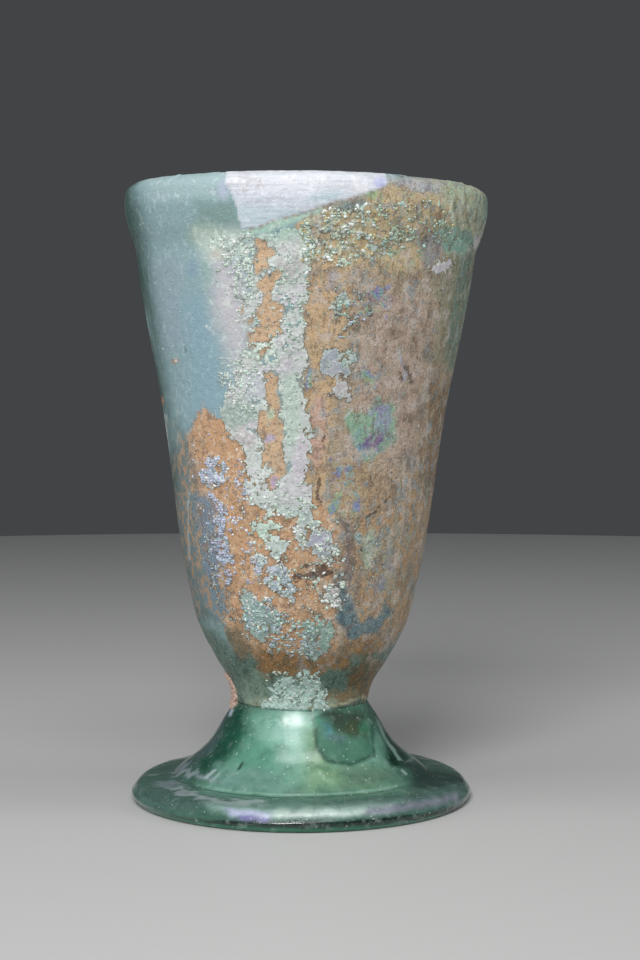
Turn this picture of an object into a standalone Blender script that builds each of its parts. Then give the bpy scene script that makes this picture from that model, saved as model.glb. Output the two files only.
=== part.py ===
"""An ancient footed glass beaker: a tall blown bowl with a swelling collar under its rounded lip, on a
hollow trumpet foot that was worked from a second gather of glass and ends in a folded, tubular ring.
A hard crust of burial earth still fills the corner of the joint on the left.

Metres, +Z up. The foot stands on the XY plane. The bowl leans a little towards +X, and the centre of
its rim is above the origin."""

import math

import bpy
from mathutils import Matrix, Vector
from mathutils.geometry import interpolate_bezier

# Overall sizes
HEIGHT = 0.1296
FOOT_HEIGHT = 0.0208
JOINT_GAP = 0.0003
BOWL_LEAN = math.radians(0.6)

# Outside of the bowl: the upper points are set down from the top, the lower ones up from the joint
LIP_RADIUS = 0.0361
LIP_SHOULDER_RADIUS = 0.0376
LIP_SHOULDER_DROP = 0.0010
RIM_RADIUS = 0.0382
RIM_DROP = 0.0044
COLLAR_RADIUS = 0.0373
COLLAR_DROP = 0.0091
LEDGE_RADIUS = 0.0358
LEDGE_DROP = 0.0136
WALL_TOP_RADIUS = 0.0352
WALL_TOP_DROP = 0.0180
WALL_MIDDLE_RADIUS = 0.0300
WALL_MIDDLE_RISE = 0.0619
BELLY_RADIUS = 0.0244
BELLY_RISE = 0.0255
TUCK_HIGH_RADIUS = 0.0223
TUCK_HIGH_RISE = 0.0169
TUCK_LOW_RADIUS = 0.0180
TUCK_LOW_RISE = 0.0084
SHANK_RADIUS = 0.0151
SHANK_RISE = 0.0037
BOWL_BASE_RADIUS = 0.0140

# Glass of the bowl
RIM_WALL = 0.0021
BOWL_WALL = 0.0015
TUCK_WALL = 0.0019
FLOOR_THICKNESS = 0.0044

# Outside of the foot, from the joint to the edge that it stands on
NECK_RADIUS = 0.0140
TRUMPET_HIGH_RADIUS = 0.0162
TRUMPET_HIGH_HEIGHT = 0.0175
TRUMPET_LOW_RADIUS = 0.0198
TRUMPET_LOW_HEIGHT = 0.0118
CREASE_RADIUS = 0.0270
CREASE_HEIGHT = 0.0056
RING_TOP_RADIUS = 0.0308
RING_TOP_HEIGHT = 0.0050
RING_SHOULDER_RADIUS = 0.0345
RING_SHOULDER_HEIGHT = 0.0041
FOOT_RADIUS = 0.0362
FOOT_WIDEST_HEIGHT = 0.0020
STANDING_RADIUS = 0.0349
STANDING_WIDTH = 0.0024

# Glass of the foot, and the fold inside its ring
FOOT_TOP_THICKNESS = 0.0034
TRUMPET_WALL = 0.0025
RING_WALL = 0.0013
FOLD_SLIT = 0.0006

# Crust of earth at the joint
CRUST_RISE = 0.0064
CRUST_FALL = 0.0020
CRUST_WIDTH = 0.0100
CRUST_THICKNESS = 0.0005
CRUST_BEARING = math.radians(186)

# How finely the round forms are cut
SEGMENTS = 48
BEND_STEP = math.radians(14)


def headings(knots):
    """Direction of a smooth curve at each of its knots, where the nearer neighbour counts for more."""
    steps = [end - start for start, end in zip(knots, knots[1:])]
    inner = [
        (before.normalized() * after.length + after.normalized() * before.length).normalized()
        for before, after in zip(steps, steps[1:])
    ]
    return [steps[0].normalized(), *inner, steps[-1].normalized()]


def smooth_line(knots):
    """Points on a smooth curve through the knots, closer together where it bends."""
    points = []
    ways = headings(knots)
    for start, end, leave, arrive in zip(knots, knots[1:], ways, ways[1:]):
        chord = end - start
        cuts = 1 + math.ceil((leave.angle(chord) + chord.angle(arrive)) / BEND_STEP)
        reach = chord.length / 3
        curve = interpolate_bezier(start, start + leave * reach, end - arrive * reach, end, cuts + 1)
        points += curve[:-1]
    return [*points, knots[-1].copy()]


def inside_of(knots, walls):
    """The knots moved through the wall, for a line that runs down the outer side."""
    return [
        knot + Vector((way.y, -way.x)) * wall for knot, way, wall in zip(knots, headings(knots), walls)
    ]


def quarter(centre, across, up, start_deg):
    """Points along a quarter of an ellipse, clockwise from start_deg."""
    cuts = 4
    angles = [math.radians(start_deg - 90 * i / cuts) for i in range(cuts + 1)]
    return [centre + Vector((across * math.cos(a), up * math.sin(a))) for a in angles]


def bowl_outside():
    """Knots from the lip's shoulder down to the joint, and the thickness of the glass at each."""
    joint = FOOT_HEIGHT + JOINT_GAP
    rows = [
        (LIP_SHOULDER_RADIUS, HEIGHT - LIP_SHOULDER_DROP, RIM_WALL),
        (RIM_RADIUS, HEIGHT - RIM_DROP, RIM_WALL),
        (COLLAR_RADIUS, HEIGHT - COLLAR_DROP, RIM_WALL),
        (LEDGE_RADIUS, HEIGHT - LEDGE_DROP, BOWL_WALL),
        (WALL_TOP_RADIUS, HEIGHT - WALL_TOP_DROP, BOWL_WALL),
        (WALL_MIDDLE_RADIUS, joint + WALL_MIDDLE_RISE, BOWL_WALL),
        (BELLY_RADIUS, joint + BELLY_RISE, BOWL_WALL),
        (TUCK_HIGH_RADIUS, joint + TUCK_HIGH_RISE, TUCK_WALL),
        (TUCK_LOW_RADIUS, joint + TUCK_LOW_RISE, TUCK_WALL),
        (SHANK_RADIUS, joint + SHANK_RISE, TUCK_WALL),
        (BOWL_BASE_RADIUS, joint, TUCK_WALL),
    ]
    return [Vector((radius, height)) for radius, height, _ in rows], [wall for *_, wall in rows]


def bowl_profile():
    """Up the inside from the middle of the floor, over the lip, down the outside and in to the axis."""
    outside, walls = bowl_outside()
    joint = outside[-1].y
    inside = inside_of(outside, walls)[:-2]
    lip_middle = Vector((LIP_RADIUS, inside[0].y))
    lip_height = HEIGHT - inside[0].y
    lip_inner = quarter(lip_middle, LIP_RADIUS - inside[0].x, lip_height, 180)
    floor = Vector((0.0, joint + FLOOR_THICKNESS))
    cove = Vector((inside[-1].x * 0.7, floor.y + FLOOR_THICKNESS * 0.35))
    outer_line = smooth_line([lip_inner[-1], *outside])
    inner_line = smooth_line([*inside, cove, floor])
    return [*reversed(inner_line[1:]), *lip_inner, *outer_line[1:], Vector((0.0, joint))]


def trumpet_outside():
    """Knots from the neck down to the crease above the ring."""
    return [
        Vector((NECK_RADIUS, FOOT_HEIGHT)),
        Vector((TRUMPET_HIGH_RADIUS, TRUMPET_HIGH_HEIGHT)),
        Vector((TRUMPET_LOW_RADIUS, TRUMPET_LOW_HEIGHT)),
        Vector((CREASE_RADIUS, CREASE_HEIGHT)),
    ]


def foot_profile():
    """Out over the top, down the trumpet, round the ring, back through its fold and up the underside."""
    trumpet = trumpet_outside()
    ring = [
        trumpet[-1],
        Vector((RING_TOP_RADIUS, RING_TOP_HEIGHT)),
        Vector((RING_SHOULDER_RADIUS, RING_SHOULDER_HEIGHT)),
        Vector((FOOT_RADIUS, FOOT_WIDEST_HEIGHT)),
    ]
    edge_middle = Vector((STANDING_RADIUS, FOOT_WIDEST_HEIGHT))
    edge = quarter(edge_middle, FOOT_RADIUS - STANDING_RADIUS, FOOT_WIDEST_HEIGHT, 0)

    # The ring is a flattened tube: its underlayer runs back in and stops short of the trumpet's wall
    roof = inside_of(ring, [RING_WALL] * len(ring))
    roof[0].x = CREASE_RADIUS
    slit_low = roof[0] - Vector((0.0, FOLD_SLIT))
    under_outer = Vector((STANDING_RADIUS - STANDING_WIDTH, 0.0))
    under_inner = slit_low - Vector((0.0, RING_WALL))
    tip = Vector((CREASE_RADIUS - RING_WALL / 2, slit_low.y - RING_WALL / 2))
    hollow_floor = Vector((under_outer.x, RING_WALL))
    hollow_end = Vector((roof[-1].x - RING_WALL / 3, RING_WALL))
    fold = [under_outer, under_inner, tip, slit_low, hollow_floor, hollow_end, *reversed(roof)]

    underside = inside_of(trumpet, [TRUMPET_WALL] * len(trumpet))
    dome = Vector((0.0, FOOT_HEIGHT - FOOT_TOP_THICKNESS))
    haunch = Vector((underside[1].x * 0.6, dome.y - FOOT_TOP_THICKNESS * 0.1))
    vault = smooth_line([roof[0] - Vector((RING_WALL, 0.0)), underside[2], underside[1], haunch, dome])
    return [Vector((0.0, FOOT_HEIGHT)), *smooth_line(trumpet)[:-1], *smooth_line(ring), *edge[1:], *fold, *vault]


def radius_at(line, height):
    """Radius of a falling line of points at a height, held at its ends."""
    for high, low in zip(line, line[1:]):
        if high.y >= height > low.y:
            return low.x + (high.x - low.x) * (height - low.y) / (high.y - low.y)
    return line[0].x if height > line[0].y else line[-1].x


def turned(name, profile, material):
    """A body turned about Z from a profile of (radius, height) points that starts and ends on the axis."""
    mesh = bpy.data.meshes.new(name)
    edges = [(i, i + 1) for i in range(len(profile) - 1)]
    mesh.from_pydata([(point.x, 0.0, point.y) for point in profile], edges, [])
    body = bpy.data.objects.new(name, mesh)
    screw = body.modifiers.new("turn", "SCREW")
    screw.steps = screw.render_steps = SEGMENTS
    screw.use_merge_vertices = True
    screw.merge_threshold = 0.00001
    screw.use_smooth_shade = True
    mesh.materials.append(material)
    parts.objects.link(body)
    return body


def joint_crust(material):
    """A thin skin bent round the neck, from the bowl's tuck down onto the trumpet, and narrower at its ends."""
    bowl_line = smooth_line(bowl_outside()[0])
    foot_line = smooth_line(trumpet_outside())
    rows = 9
    columns = 7
    points = []
    for i in range(rows):
        height = FOOT_HEIGHT + CRUST_RISE - (CRUST_RISE + CRUST_FALL) * i / (rows - 1)
        line = bowl_line if height > FOOT_HEIGHT else foot_line
        radius = radius_at(line, height) + JOINT_GAP
        half = CRUST_WIDTH / 2 / radius * (0.35 + 0.65 * math.sin(math.pi * i / (rows - 1)))
        for j in range(columns):
            bearing = CRUST_BEARING + half * (2 * j / (columns - 1) - 1)
            points.append((radius * math.cos(bearing), radius * math.sin(bearing), height))
    corners = [i * columns + j for i in range(rows - 1) for j in range(columns - 1)]
    faces = [(c, c + columns, c + columns + 1, c + 1) for c in corners]
    mesh = bpy.data.meshes.new("joint_crust")
    mesh.from_pydata(points, [], faces)
    mesh.shade_smooth()
    crust = bpy.data.objects.new("joint_crust", mesh)
    skin = crust.modifiers.new("skin", "SOLIDIFY")
    skin.thickness = CRUST_THICKNESS
    skin.offset = 1.0
    mesh.materials.append(material)
    parts.objects.link(crust)
    return crust


def finish(name, colour, roughness, transmission):
    material = bpy.data.materials.new(name)
    material.use_nodes = True
    shader = material.node_tree.nodes["Principled BSDF"]
    shader.inputs["Base Color"].default_value = colour
    shader.inputs["Roughness"].default_value = roughness
    shader.inputs["Metallic"].default_value = 0.0
    shader.inputs["Transmission Weight"].default_value = transmission
    material.diffuse_color = colour
    return material


for old in list(bpy.data.objects):
    bpy.data.objects.remove(old)
parts = bpy.data.collections.new("glass_beaker")
bpy.context.scene.collection.children.link(parts)

weathered_glass = finish("weathered_glass", (0.42, 0.40, 0.33, 1.0), 0.45, 0.2)
clean_glass = finish("clean_glass", (0.20, 0.48, 0.38, 1.0), 0.12, 0.8)
burial_earth = finish("burial_earth", (0.62, 0.44, 0.34, 1.0), 0.9, 0.0)
bowl = turned("bowl", bowl_profile(), weathered_glass)
foot = turned("foot", foot_profile(), clean_glass)
crust = joint_crust(burial_earth)

# The bowl was joined a little askew, so it turns about the middle of the foot's top
bowl.data.transform(Matrix.Translation((0.0, 0.0, -FOOT_HEIGHT)))
bowl.location.z = FOOT_HEIGHT
bowl.rotation_euler.y = BOWL_LEAN

beaker = bpy.data.objects.new("beaker", None)
beaker.location.x = -math.sin(BOWL_LEAN) * (HEIGHT - RIM_DROP - FOOT_HEIGHT)
parts.objects.link(beaker)
for piece in (bowl, foot, crust):
    piece.parent = beaker
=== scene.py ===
"""The looks of an ancient glass beaker: a tall bowl under a crust of weathering, on a clear green foot."""

import math

import bpy
import numpy as np
from mathutils import Matrix, Vector, noise
from mathutils.geometry import interpolate_bezier


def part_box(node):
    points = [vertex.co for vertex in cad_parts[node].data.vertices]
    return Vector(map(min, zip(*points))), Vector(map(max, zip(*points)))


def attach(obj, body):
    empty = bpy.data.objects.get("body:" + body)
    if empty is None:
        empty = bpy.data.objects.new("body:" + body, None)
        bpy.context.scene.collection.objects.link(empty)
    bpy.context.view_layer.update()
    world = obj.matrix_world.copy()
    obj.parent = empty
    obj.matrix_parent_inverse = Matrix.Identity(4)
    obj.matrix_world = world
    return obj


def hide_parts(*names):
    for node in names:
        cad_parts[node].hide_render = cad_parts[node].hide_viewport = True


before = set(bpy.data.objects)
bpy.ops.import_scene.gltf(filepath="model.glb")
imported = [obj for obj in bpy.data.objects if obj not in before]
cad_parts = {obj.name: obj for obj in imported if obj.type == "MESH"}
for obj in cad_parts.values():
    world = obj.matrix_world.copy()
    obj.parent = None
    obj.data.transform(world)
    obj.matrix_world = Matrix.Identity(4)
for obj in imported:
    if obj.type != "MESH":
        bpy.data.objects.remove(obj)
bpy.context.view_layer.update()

# The camera.
# It looks at the beaker almost level, from a little above the middle of its height, and a fair way
# off, so that the rim shows nearly edge on and the foot from slightly above.
MM = 0.001
EYE = (2.9, -425.5, 90.9)
EYE_DIP = math.radians(3.102)
LENS = 75.0

camera_data = bpy.data.cameras.new("camera")
camera_data.lens = LENS
camera_data.clip_start = 0.01
camera = bpy.data.objects.new("camera", camera_data)
camera.location = Vector(EYE) * MM
camera.rotation_euler.x = math.radians(90) - EYE_DIP
bpy.context.scene.collection.objects.link(camera)
bpy.context.scene.camera = camera

# The bowl.
# One gather of green glass, blown long, tucked in below, pressed out to a collar and fire-rounded at
# the lip. Burial turned its skin into films, plates and grains of silica over ochre soil. Sizes from
# here on are in millimetres.
HEIGHT = 129.6
JOINT = 20.8
LIP_RADIUS = 36.1
RIM_WALL = 2.1
BOWL_WALL = 1.5
TUCK_WALL = 1.9
FLOOR_THICKNESS = 4.4
LEAN = math.radians(0.6)
BOWL_OUTSIDE = [
    ((37.6, 128.6), RIM_WALL),
    ((38.2, 125.2), RIM_WALL),
    ((37.3, 120.5), RIM_WALL),
    ((35.8, 116.0), BOWL_WALL),
    ((35.2, 111.6), BOWL_WALL),
    ((30.0, 83.0), BOWL_WALL),
    ((24.4, 46.6), BOWL_WALL),
    ((22.3, 38.0), TUCK_WALL),
    ((18.0, 29.5), TUCK_WALL),
    ((15.1, 24.8), TUCK_WALL),
    ((14.0, JOINT), TUCK_WALL),
]
ROW_STEP = 0.5
INSIDE_STEP = 3.6
LIP_CUTS = 8
FRONT_COLUMNS = 320
BACK_COLUMNS = 80
FRONT_SWEEP = math.radians(200)
FEWER = 4


def headings(knots):
    """Direction of a smooth curve at each of its knots, where the nearer neighbour counts for more."""
    steps = [end - start for start, end in zip(knots, knots[1:])]
    inner = [
        (before.normalized() * after.length + after.normalized() * before.length).normalized()
        for before, after in zip(steps, steps[1:])
    ]
    return [steps[0].normalized(), *inner, steps[-1].normalized()]


def smooth_line(knots, step):
    """Points on a smooth curve through the knots, about a step apart."""
    points = []
    ways = headings(knots)
    for start, end, leave, arrive in zip(knots, knots[1:], ways, ways[1:]):
        length = (end - start).length
        cuts = max(1, round(length / step))
        reach = length / 3
        points += interpolate_bezier(start, start + leave * reach, end - arrive * reach, end, cuts + 1)[:-1]
    return [*points, knots[-1].copy()]


def inside_of(knots, walls):
    """The knots moved through the wall, for a line that runs down the outer side."""
    return [knot + Vector((way.y, -way.x)) * wall for knot, way, wall in zip(knots, headings(knots), walls)]


def quarter(middle, across, up, start, cuts):
    """Points along a quarter of an ellipse, clockwise from a start angle in degrees."""
    angles = [math.radians(start - 90 * i / cuts) for i in range(cuts + 1)]
    return [middle + Vector((across * math.cos(a), up * math.sin(a))) for a in angles]


def columns_round(front_columns, back_columns):
    """Bearings of the columns of a turned mesh, closer together on the side that shows most."""
    start = -math.pi / 2 - FRONT_SWEEP / 2
    front = np.linspace(start, start + FRONT_SWEEP, front_columns, endpoint=False)
    back = np.linspace(start + FRONT_SWEEP, start + math.tau, back_columns, endpoint=False)
    return np.concatenate([front, back])


def swept(profile, turns):
    """Points of a profile carried round the upright axis: rows by columns by three."""
    profile = np.array(profile)
    across = profile[:, :1] * np.cos(turns)
    along = profile[:, :1] * np.sin(turns)
    up = np.repeat(profile[:, 1:], len(turns), axis=1)
    return np.stack([across, along, up], axis=2)


def outward_of(profile):
    """The outward direction at each point of a profile that runs down its outer side."""
    steps = np.gradient(np.array(profile), axis=0)
    return np.stack([-steps[:, 1], steps[:, 0]], axis=1) / np.linalg.norm(steps, axis=1, keepdims=True)


def join_rows(upper, lower):
    """Faces between two rings of corners, where one ring may have a whole number of times as many."""
    many, few = (upper, lower) if len(upper) >= len(lower) else (lower, upper)
    each = len(many) // len(few)
    faces = []
    for j in range(len(few)):
        face = [many[(j * each + k) % len(many)] for k in range(each + 1)]
        face += [few[(j + 1) % len(few)], few[j]]
        faces.append(face[::-1] if many is upper else face)
    return faces


def close_with(middle, ring, upward):
    """Faces from a ring of corners to one in its middle."""
    ends = zip(ring, np.roll(ring, -1))
    return [[middle, a, b] if upward else [middle, b, a] for a, b in ends]


def new_piece(name, mesh, material):
    """A smooth object of a mesh, which rides on the beaker."""
    mesh.shade_smooth()
    mesh.materials.clear()
    mesh.materials.append(material)
    piece = bpy.data.objects.new(name, mesh)
    bpy.context.scene.collection.objects.link(piece)
    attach(piece, "root")
    return piece


def new_mesh(name, points, faces):
    """A mesh of points in millimetres."""
    mesh = bpy.data.meshes.new(name)
    mesh.from_pydata((np.asarray(points) * MM).tolist(), [], faces)
    return mesh


bowl_knots = [Vector(knot) for knot, _ in BOWL_OUTSIDE]
bowl_inside = inside_of(bowl_knots, [wall for _, wall in BOWL_OUTSIDE])[:-2]
lip_middle = Vector((LIP_RADIUS, bowl_inside[0].y))
lip_line = quarter(lip_middle, LIP_RADIUS - bowl_inside[0].x, HEIGHT - lip_middle.y, 180, LIP_CUTS)
cove = Vector((bowl_inside[-1].x * 0.7, JOINT + FLOOR_THICKNESS * 1.35))
floor_middle = Vector((0.0, JOINT + FLOOR_THICKNESS))
inside_line = smooth_line([*bowl_inside, cove, floor_middle], INSIDE_STEP)
skin_line = [*lip_line[2:-1], *smooth_line([lip_line[-1], *bowl_knots], ROW_STEP)]
bearings = columns_round(FRONT_COLUMNS, BACK_COLUMNS)
foot_low, foot_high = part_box("foot")
axis_across = (foot_low.x + foot_high.x) / 2 / MM
tilt = np.array(Matrix.Rotation(LEAN, 3, "Y"))


def leaned(points):
    """The points as the bowl leans on its foot."""
    return (points - (0, 0, JOINT)) @ tilt.T + (axis_across, 0, JOINT)


skin = leaned(swept(skin_line, bearings)).reshape(-1, 3)
outward = (swept(outward_of(skin_line), bearings) @ tilt.T).reshape(-1, 3)

# A rule held against the front, on which every patch has its place
RULE_DISTANCE = 400.0
RULE_ACROSS = 3.4
RULE_UP = 68.2


def ruled(points):
    """Where points show on the rule: across from the axis, and up from the ground."""
    sight = points - EYE
    depth = sight[:, 1] * math.cos(EYE_DIP) - sight[:, 2] * math.sin(EYE_DIP)
    up = sight[:, 1] * math.sin(EYE_DIP) + sight[:, 2] * math.cos(EYE_DIP)
    across = sight[:, 0] / depth * RULE_DISTANCE + RULE_ACROSS
    return np.stack([across, up / depth * RULE_DISTANCE + RULE_UP], axis=1)


def smoothstep(low, high, value):
    """Nought below low, one above high and smooth between."""
    share = np.clip((value - low) / (high - low), 0, 1)
    return share * share * (3 - 2 * share)


def ripple(points, size, seed, octaves=3):
    """Smooth noise from about -1 to 1, with features of a size in millimetres."""
    shift = Vector((17.3, 5.7, 11.9)) * seed
    return np.array([noise.fractal(Vector(p) / size + shift, 1.0, 2.0, octaves) for p in points.tolist()])


def beads(points, size):
    """Round humps from 0 to 1, packed side by side, about a size apart."""
    gaps = np.array([noise.voronoi(Vector(p) / size)[0][0] for p in points.tolist()])
    return np.clip(1 - 1.6 * gaps * gaps, 0, 1)


def display(red, green, blue):
    """A colour as a screen shows it, from 0 to 255, as light."""
    return np.array([(level / 255) ** 2.2 for level in (red, green, blue)])


def within(outline, spots):
    """Distance in millimetres from each spot to the edge of an outline, positive inside it."""
    ends = np.array(outline, dtype=float)
    nearest = np.full(len(spots), 1e9)
    inside = np.zeros(len(spots), dtype=bool)
    for start, end in zip(np.roll(ends, 1, axis=0), ends):
        way = end - start
        gap = spots - start
        share = np.clip(gap @ way / (way @ way), 0, 1)
        nearest = np.minimum(nearest, np.linalg.norm(gap - share[:, None] * way, axis=1))
        crosses = (start[1] > spots[:, 1]) != (end[1] > spots[:, 1])
        inside ^= crosses & (gap[:, 0] < way[0] * gap[:, 1] / (way[1] or 1.0))
    return np.where(inside, nearest, -nearest)


def along(line, spots):
    """Distance in millimetres from each spot to an open line."""
    nearest = np.full(len(spots), 1e9)
    for start, end in zip(np.array(line[:-1], dtype=float), np.array(line[1:], dtype=float)):
        way = end - start
        gap = spots - start
        share = np.clip(gap @ way / (way @ way), 0, 1)
        nearest = np.minimum(nearest, np.linalg.norm(gap - share[:, None] * way, axis=1))
    return nearest


def oval(across, height, half_width, half_height, lean=0):
    """Outline of an oval patch, which may lean to the right by some degrees."""
    turn = math.radians(lean)
    angles = [math.tau * i / 12 for i in range(12)]
    spots = [(half_width * math.cos(a), half_height * math.sin(a)) for a in angles]
    return [
        (
            across + x * math.cos(turn) + y * math.sin(turn),
            height - x * math.sin(turn) + y * math.cos(turn),
        )
        for x, y in spots
    ]


# A patch of the front ends where the wall turns away, and one that goes round wanders at the back
PATCH_REACH = 16.0
BACK_WANDER = 15.0
places = ruled(skin)
sight = skin - EYE
facing = -(sight * outward).sum(axis=1) / np.linalg.norm(sight, axis=1)
behind = smoothstep(0.02, -0.25, facing) * PATCH_REACH
far_side = smoothstep(0.0, -0.3, facing)
coarse = [ripple(skin, 2.6, seed) for seed in (1, 2)]
small = [ripple(skin, 0.9, seed, 2) for seed in (3, 4)]
cloud = ripple(skin, 9, 5)
drift = ripple(skin, 12, 8)
speck = ripple(skin, 1.3, 6)
knobs = beads(skin, 1.05)
wander = np.stack([drift, cloud], axis=1) * BACK_WANDER * smoothstep(0.3, -0.3, facing)[:, None]
RAGGED = places + np.stack(coarse, axis=1) * 0.8 + np.stack(small, axis=1) * 0.6
CALM = places + np.stack(coarse, axis=1) * 0.35
STILL = places

# The painted layers: what lies below, its flecks, the crust above it, and how each spot is finished
FILM = display(136, 164, 168)
PALE_FILM = display(160, 184, 186)
count = len(skin)
ground = np.tile(FILM, (count, 1))
flecks = np.tile(PALE_FILM, (count, 1))
flecked = np.full(count, 0.35)
tint = np.tile(display(188, 196, 192), (count, 1))
crust = np.full(count, -4.0)
depth = np.zeros(count)
sheen = np.zeros(count)
stain = np.full(count, -3.0)
grit = np.full(count, 0.15)
wiped = np.zeros(count)
clear = np.zeros(count)


def cover(outline, soft=0.4, edge=RAGGED, goes_round=False):
    """How far an outline covers each spot, through an edge that fades over a soft width."""
    distance = within(outline, edge + wander) if goes_round else within(outline, edge) - behind
    return smoothstep(-soft, soft, distance)


def put(layer, value, share):
    """Lays a share of a value over a layer."""
    layer += (value - layer) * (share[:, None] if layer.ndim == 2 else share)


def zone(outline, colour, fleck, share, soft=1.2, edge=CALM, goes_round=False):
    """A stretch of ground with flecks of a second colour."""
    covered = cover(outline, soft, edge, goes_round)
    put(ground, display(*colour), covered)
    put(flecks, display(*fleck), covered)
    put(flecked, share, covered)


def touch(outline, colour, soft=0.4, edge=CALM, strength=1.0):
    """A patch of one colour on the ground."""
    covered = cover(outline, soft, edge) * strength
    put(ground, display(*colour), covered)
    put(flecks, display(*colour) * 0.8, covered)


def plate(outline, colour, edge=RAGGED):
    """A plate of crust that stands on the ground."""
    distance = within(outline, edge) - behind
    np.maximum(crust, distance, out=crust)
    tint[distance > -1.2] = display(*colour)


def islands(outline, level, colour):
    """Crust that is broken up into beads, more of them where the level is higher."""
    covered = cover(outline, 0.8)
    np.maximum(crust, level - 3 * (1 - covered), out=crust)
    put(tint, display(*colour), covered)
    put(grit, 1.0, covered)


def hole(outline, colour, fleck):
    """A gap in the crust, where the ground shows."""
    np.minimum(crust, behind - within(outline, RAGGED), out=crust)
    zone(outline, colour, fleck, 0.35, 0.5, RAGGED)


def mark(line, width):
    """A dark crack or stain along a line."""
    np.maximum(stain, width - along(line, RAGGED * 0.35 + STILL * 0.65) - behind, out=stain)


# Films on the left, from greenish at the edge to pale blue-grey in the middle, the edge also painted darker
# as shade
LEFT_EDGE = [(-45, 135), (-35, 129), (-32.4, 120), (-30, 104), (-27.4, 84), (-25, 64), (-21, 46), (-45, 40)]
LEFT_LOW = [(-40, 74), (-23, 74), (-20, 60), (-17, 40), (-40, 40)]
FROST = [(-32, 129), (-13.4, 131), (-13.4, 125), (-21.6, 124.6), (-30, 124.6)]
LILAC_BAND = [(-29.2, 111.8), (-25, 111.8), (-23.2, 96), (-27.4, 94)]
BLUE_BAND = [(-24.4, 104), (-20, 106), (-16.4, 97), (-14.4, 90), (-17, 80), (-22.6, 79)]
GREY_FADE = [(-17.4, 105), (-11.6, 104), (-10.6, 94), (-12.6, 87), (-13.8, 90), (-15.6, 96)]
PINK = [(-18.4, 112.4), (-14.2, 113), (-11.6, 108.6), (-11.4, 96), (-13.6, 92.4), (-15.8, 98), (-17.8, 104)]
BELOW_SHERD = [(-21.6, 118), (-12.6, 118.6), (-10, 117), (-13, 112.6), (-20, 113)]
# Dark green round the left side: film colour, with painted shade where the wall turns away
zone(LEFT_EDGE, (66, 94, 88), (94, 120, 114), 0.3, 3.0, CALM, True)
zone(LEFT_LOW, (78, 94, 90), (128, 132, 122), 0.4, 3.0, RAGGED)
zone(FROST, (152, 176, 178), (178, 196, 198), 0.34, 2.0)
zone([(-21.6, 124), (-13, 124), (-12.4, 119), (-21, 119)], (122, 150, 148), (136, 162, 158), 0.3, 2.0)
zone(oval(-19.2, 117.4, 3.6, 2.0), (146, 170, 154), (166, 190, 174), 0.4, 2.2)
zone(LILAC_BAND, (144, 162, 172), (154, 174, 182), 0.35, 2.6)
zone(BLUE_BAND, (134, 164, 176), (146, 176, 186), 0.35, 3.6)
zone(GREY_FADE, (172, 182, 184), (198, 208, 204), 0.35, 4.2)
zone(PINK, (190, 188, 194), (208, 214, 210), 0.36, 3.2, RAGGED)
zone(BELOW_SHERD, (182, 198, 190), (216, 228, 218), 0.4, 2.0)
touch(oval(-16, 126.3, 1.0, 2.2), (172, 178, 200), 0.9, CALM, 0.7)
touch(oval(-22, 110.4, 1.0, 1.8), (124, 152, 172), 0.9, CALM, 0.6)
touch(oval(-17, 113.2, 1.6, 1.0), (200, 188, 172), 0.9, CALM, 0.6)
touch(oval(-19.4, 109.2, 0.4, 3.2), (138, 172, 154), 0.8, CALM, 0.6)
put(wiped, 0.14, cover([(-40, 134), (-12, 134), (-11, 80), (-40, 80)], 2.0, CALM))

# Taupe and tan over the right, where more soil is held
RIGHT = [(0.4, 121.2), (3.4, 123), (12.6, 125.2), (17, 127.6), (19.4, 128.6), (60, 128.6), (60, 30)]
RIGHT += [(-0.6, 30), (-0.6, 84.2), (0.4, 104.2)]
GLITTER = [(-0.6, 119.8), (5.4, 122.6), (13.6, 123.4), (14.6, 112.8), (8, 110), (2.4, 110.6), (0, 112)]
TAN = [(12.6, 124.2), (17.4, 127), (27.4, 126.2), (33.4, 124.2), (33.4, 116.2), (27.4, 111.8)]
TAN += [(19.4, 109.6), (12.6, 110.6)]
WARM = [(0.4, 111.8), (8.4, 111.8), (9.8, 104.2), (8.4, 94), (6.4, 84), (4.4, 72), (4.4, 62), (0.6, 62)]
RIGHT_EDGE = [(29, 113.2), (60, 113.2), (60, 92), (26.6, 92), (28, 104.2)]
LOW_EDGE = [(24.8, 88), (60, 88), (60, 36.2), (20.4, 36.2), (21.6, 52.2), (23, 68.2)]
RIM_RIGHT = [(27.8, 134), (60, 134), (60, 114.2), (34.4, 114.2), (32, 117.8), (30.4, 123.2), (27.4, 126.2)]
LIP_STRIP = [(16.6, 129), (28.4, 127.8), (27.4, 125.8), (19.4, 126.6)]
GREY_VIOLET = [(23.4, 115.6), (25.4, 117.8), (27.4, 117.2), (28.4, 114.2), (26.6, 111.8), (24.2, 110.2)]
SANDY_LOW = [(6, 70), (12, 74), (18, 70), (17, 61), (9.6, 58), (5.6, 63)]
TEAL_EDGE = [(31.4, 114), (60, 114), (60, 90), (28.4, 90), (29.4, 102)]
zone(RIGHT, (166, 148, 124), (144, 134, 120), 0.42, 1.5, CALM, True)
zone([(13, 104), (26, 106), (24, 74), (15, 66), (9, 72)], (172, 152, 136), (148, 136, 124), 0.42, 3.0)
zone(SANDY_LOW, (170, 148, 116), (150, 132, 110), 0.4, 3.4)
zone(TAN, (184, 164, 128), (150, 172, 142), 0.36, 1.5)
zone(GLITTER, (190, 168, 128), (198, 212, 186), 0.46, 0.8)
zone(WARM, (194, 164, 126), (174, 150, 120), 0.36, 1.2)
zone(oval(3.0, 78, 1.9, 7.5, 3), (194, 160, 142), (178, 148, 122), 0.4, 0.8)
# Olive and brown round the right side: soil, darkened with painted shade where the wall turns away
zone(RIGHT_EDGE, (124, 126, 102), (142, 134, 106), 0.4, 2.6, RAGGED, True)
zone(LOW_EDGE, (136, 112, 82), (94, 92, 80), 0.46, 2.6, RAGGED, True)
zone(RIM_RIGHT, (184, 200, 174), (208, 198, 160), 0.46, 1.6, RAGGED, True)
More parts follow.
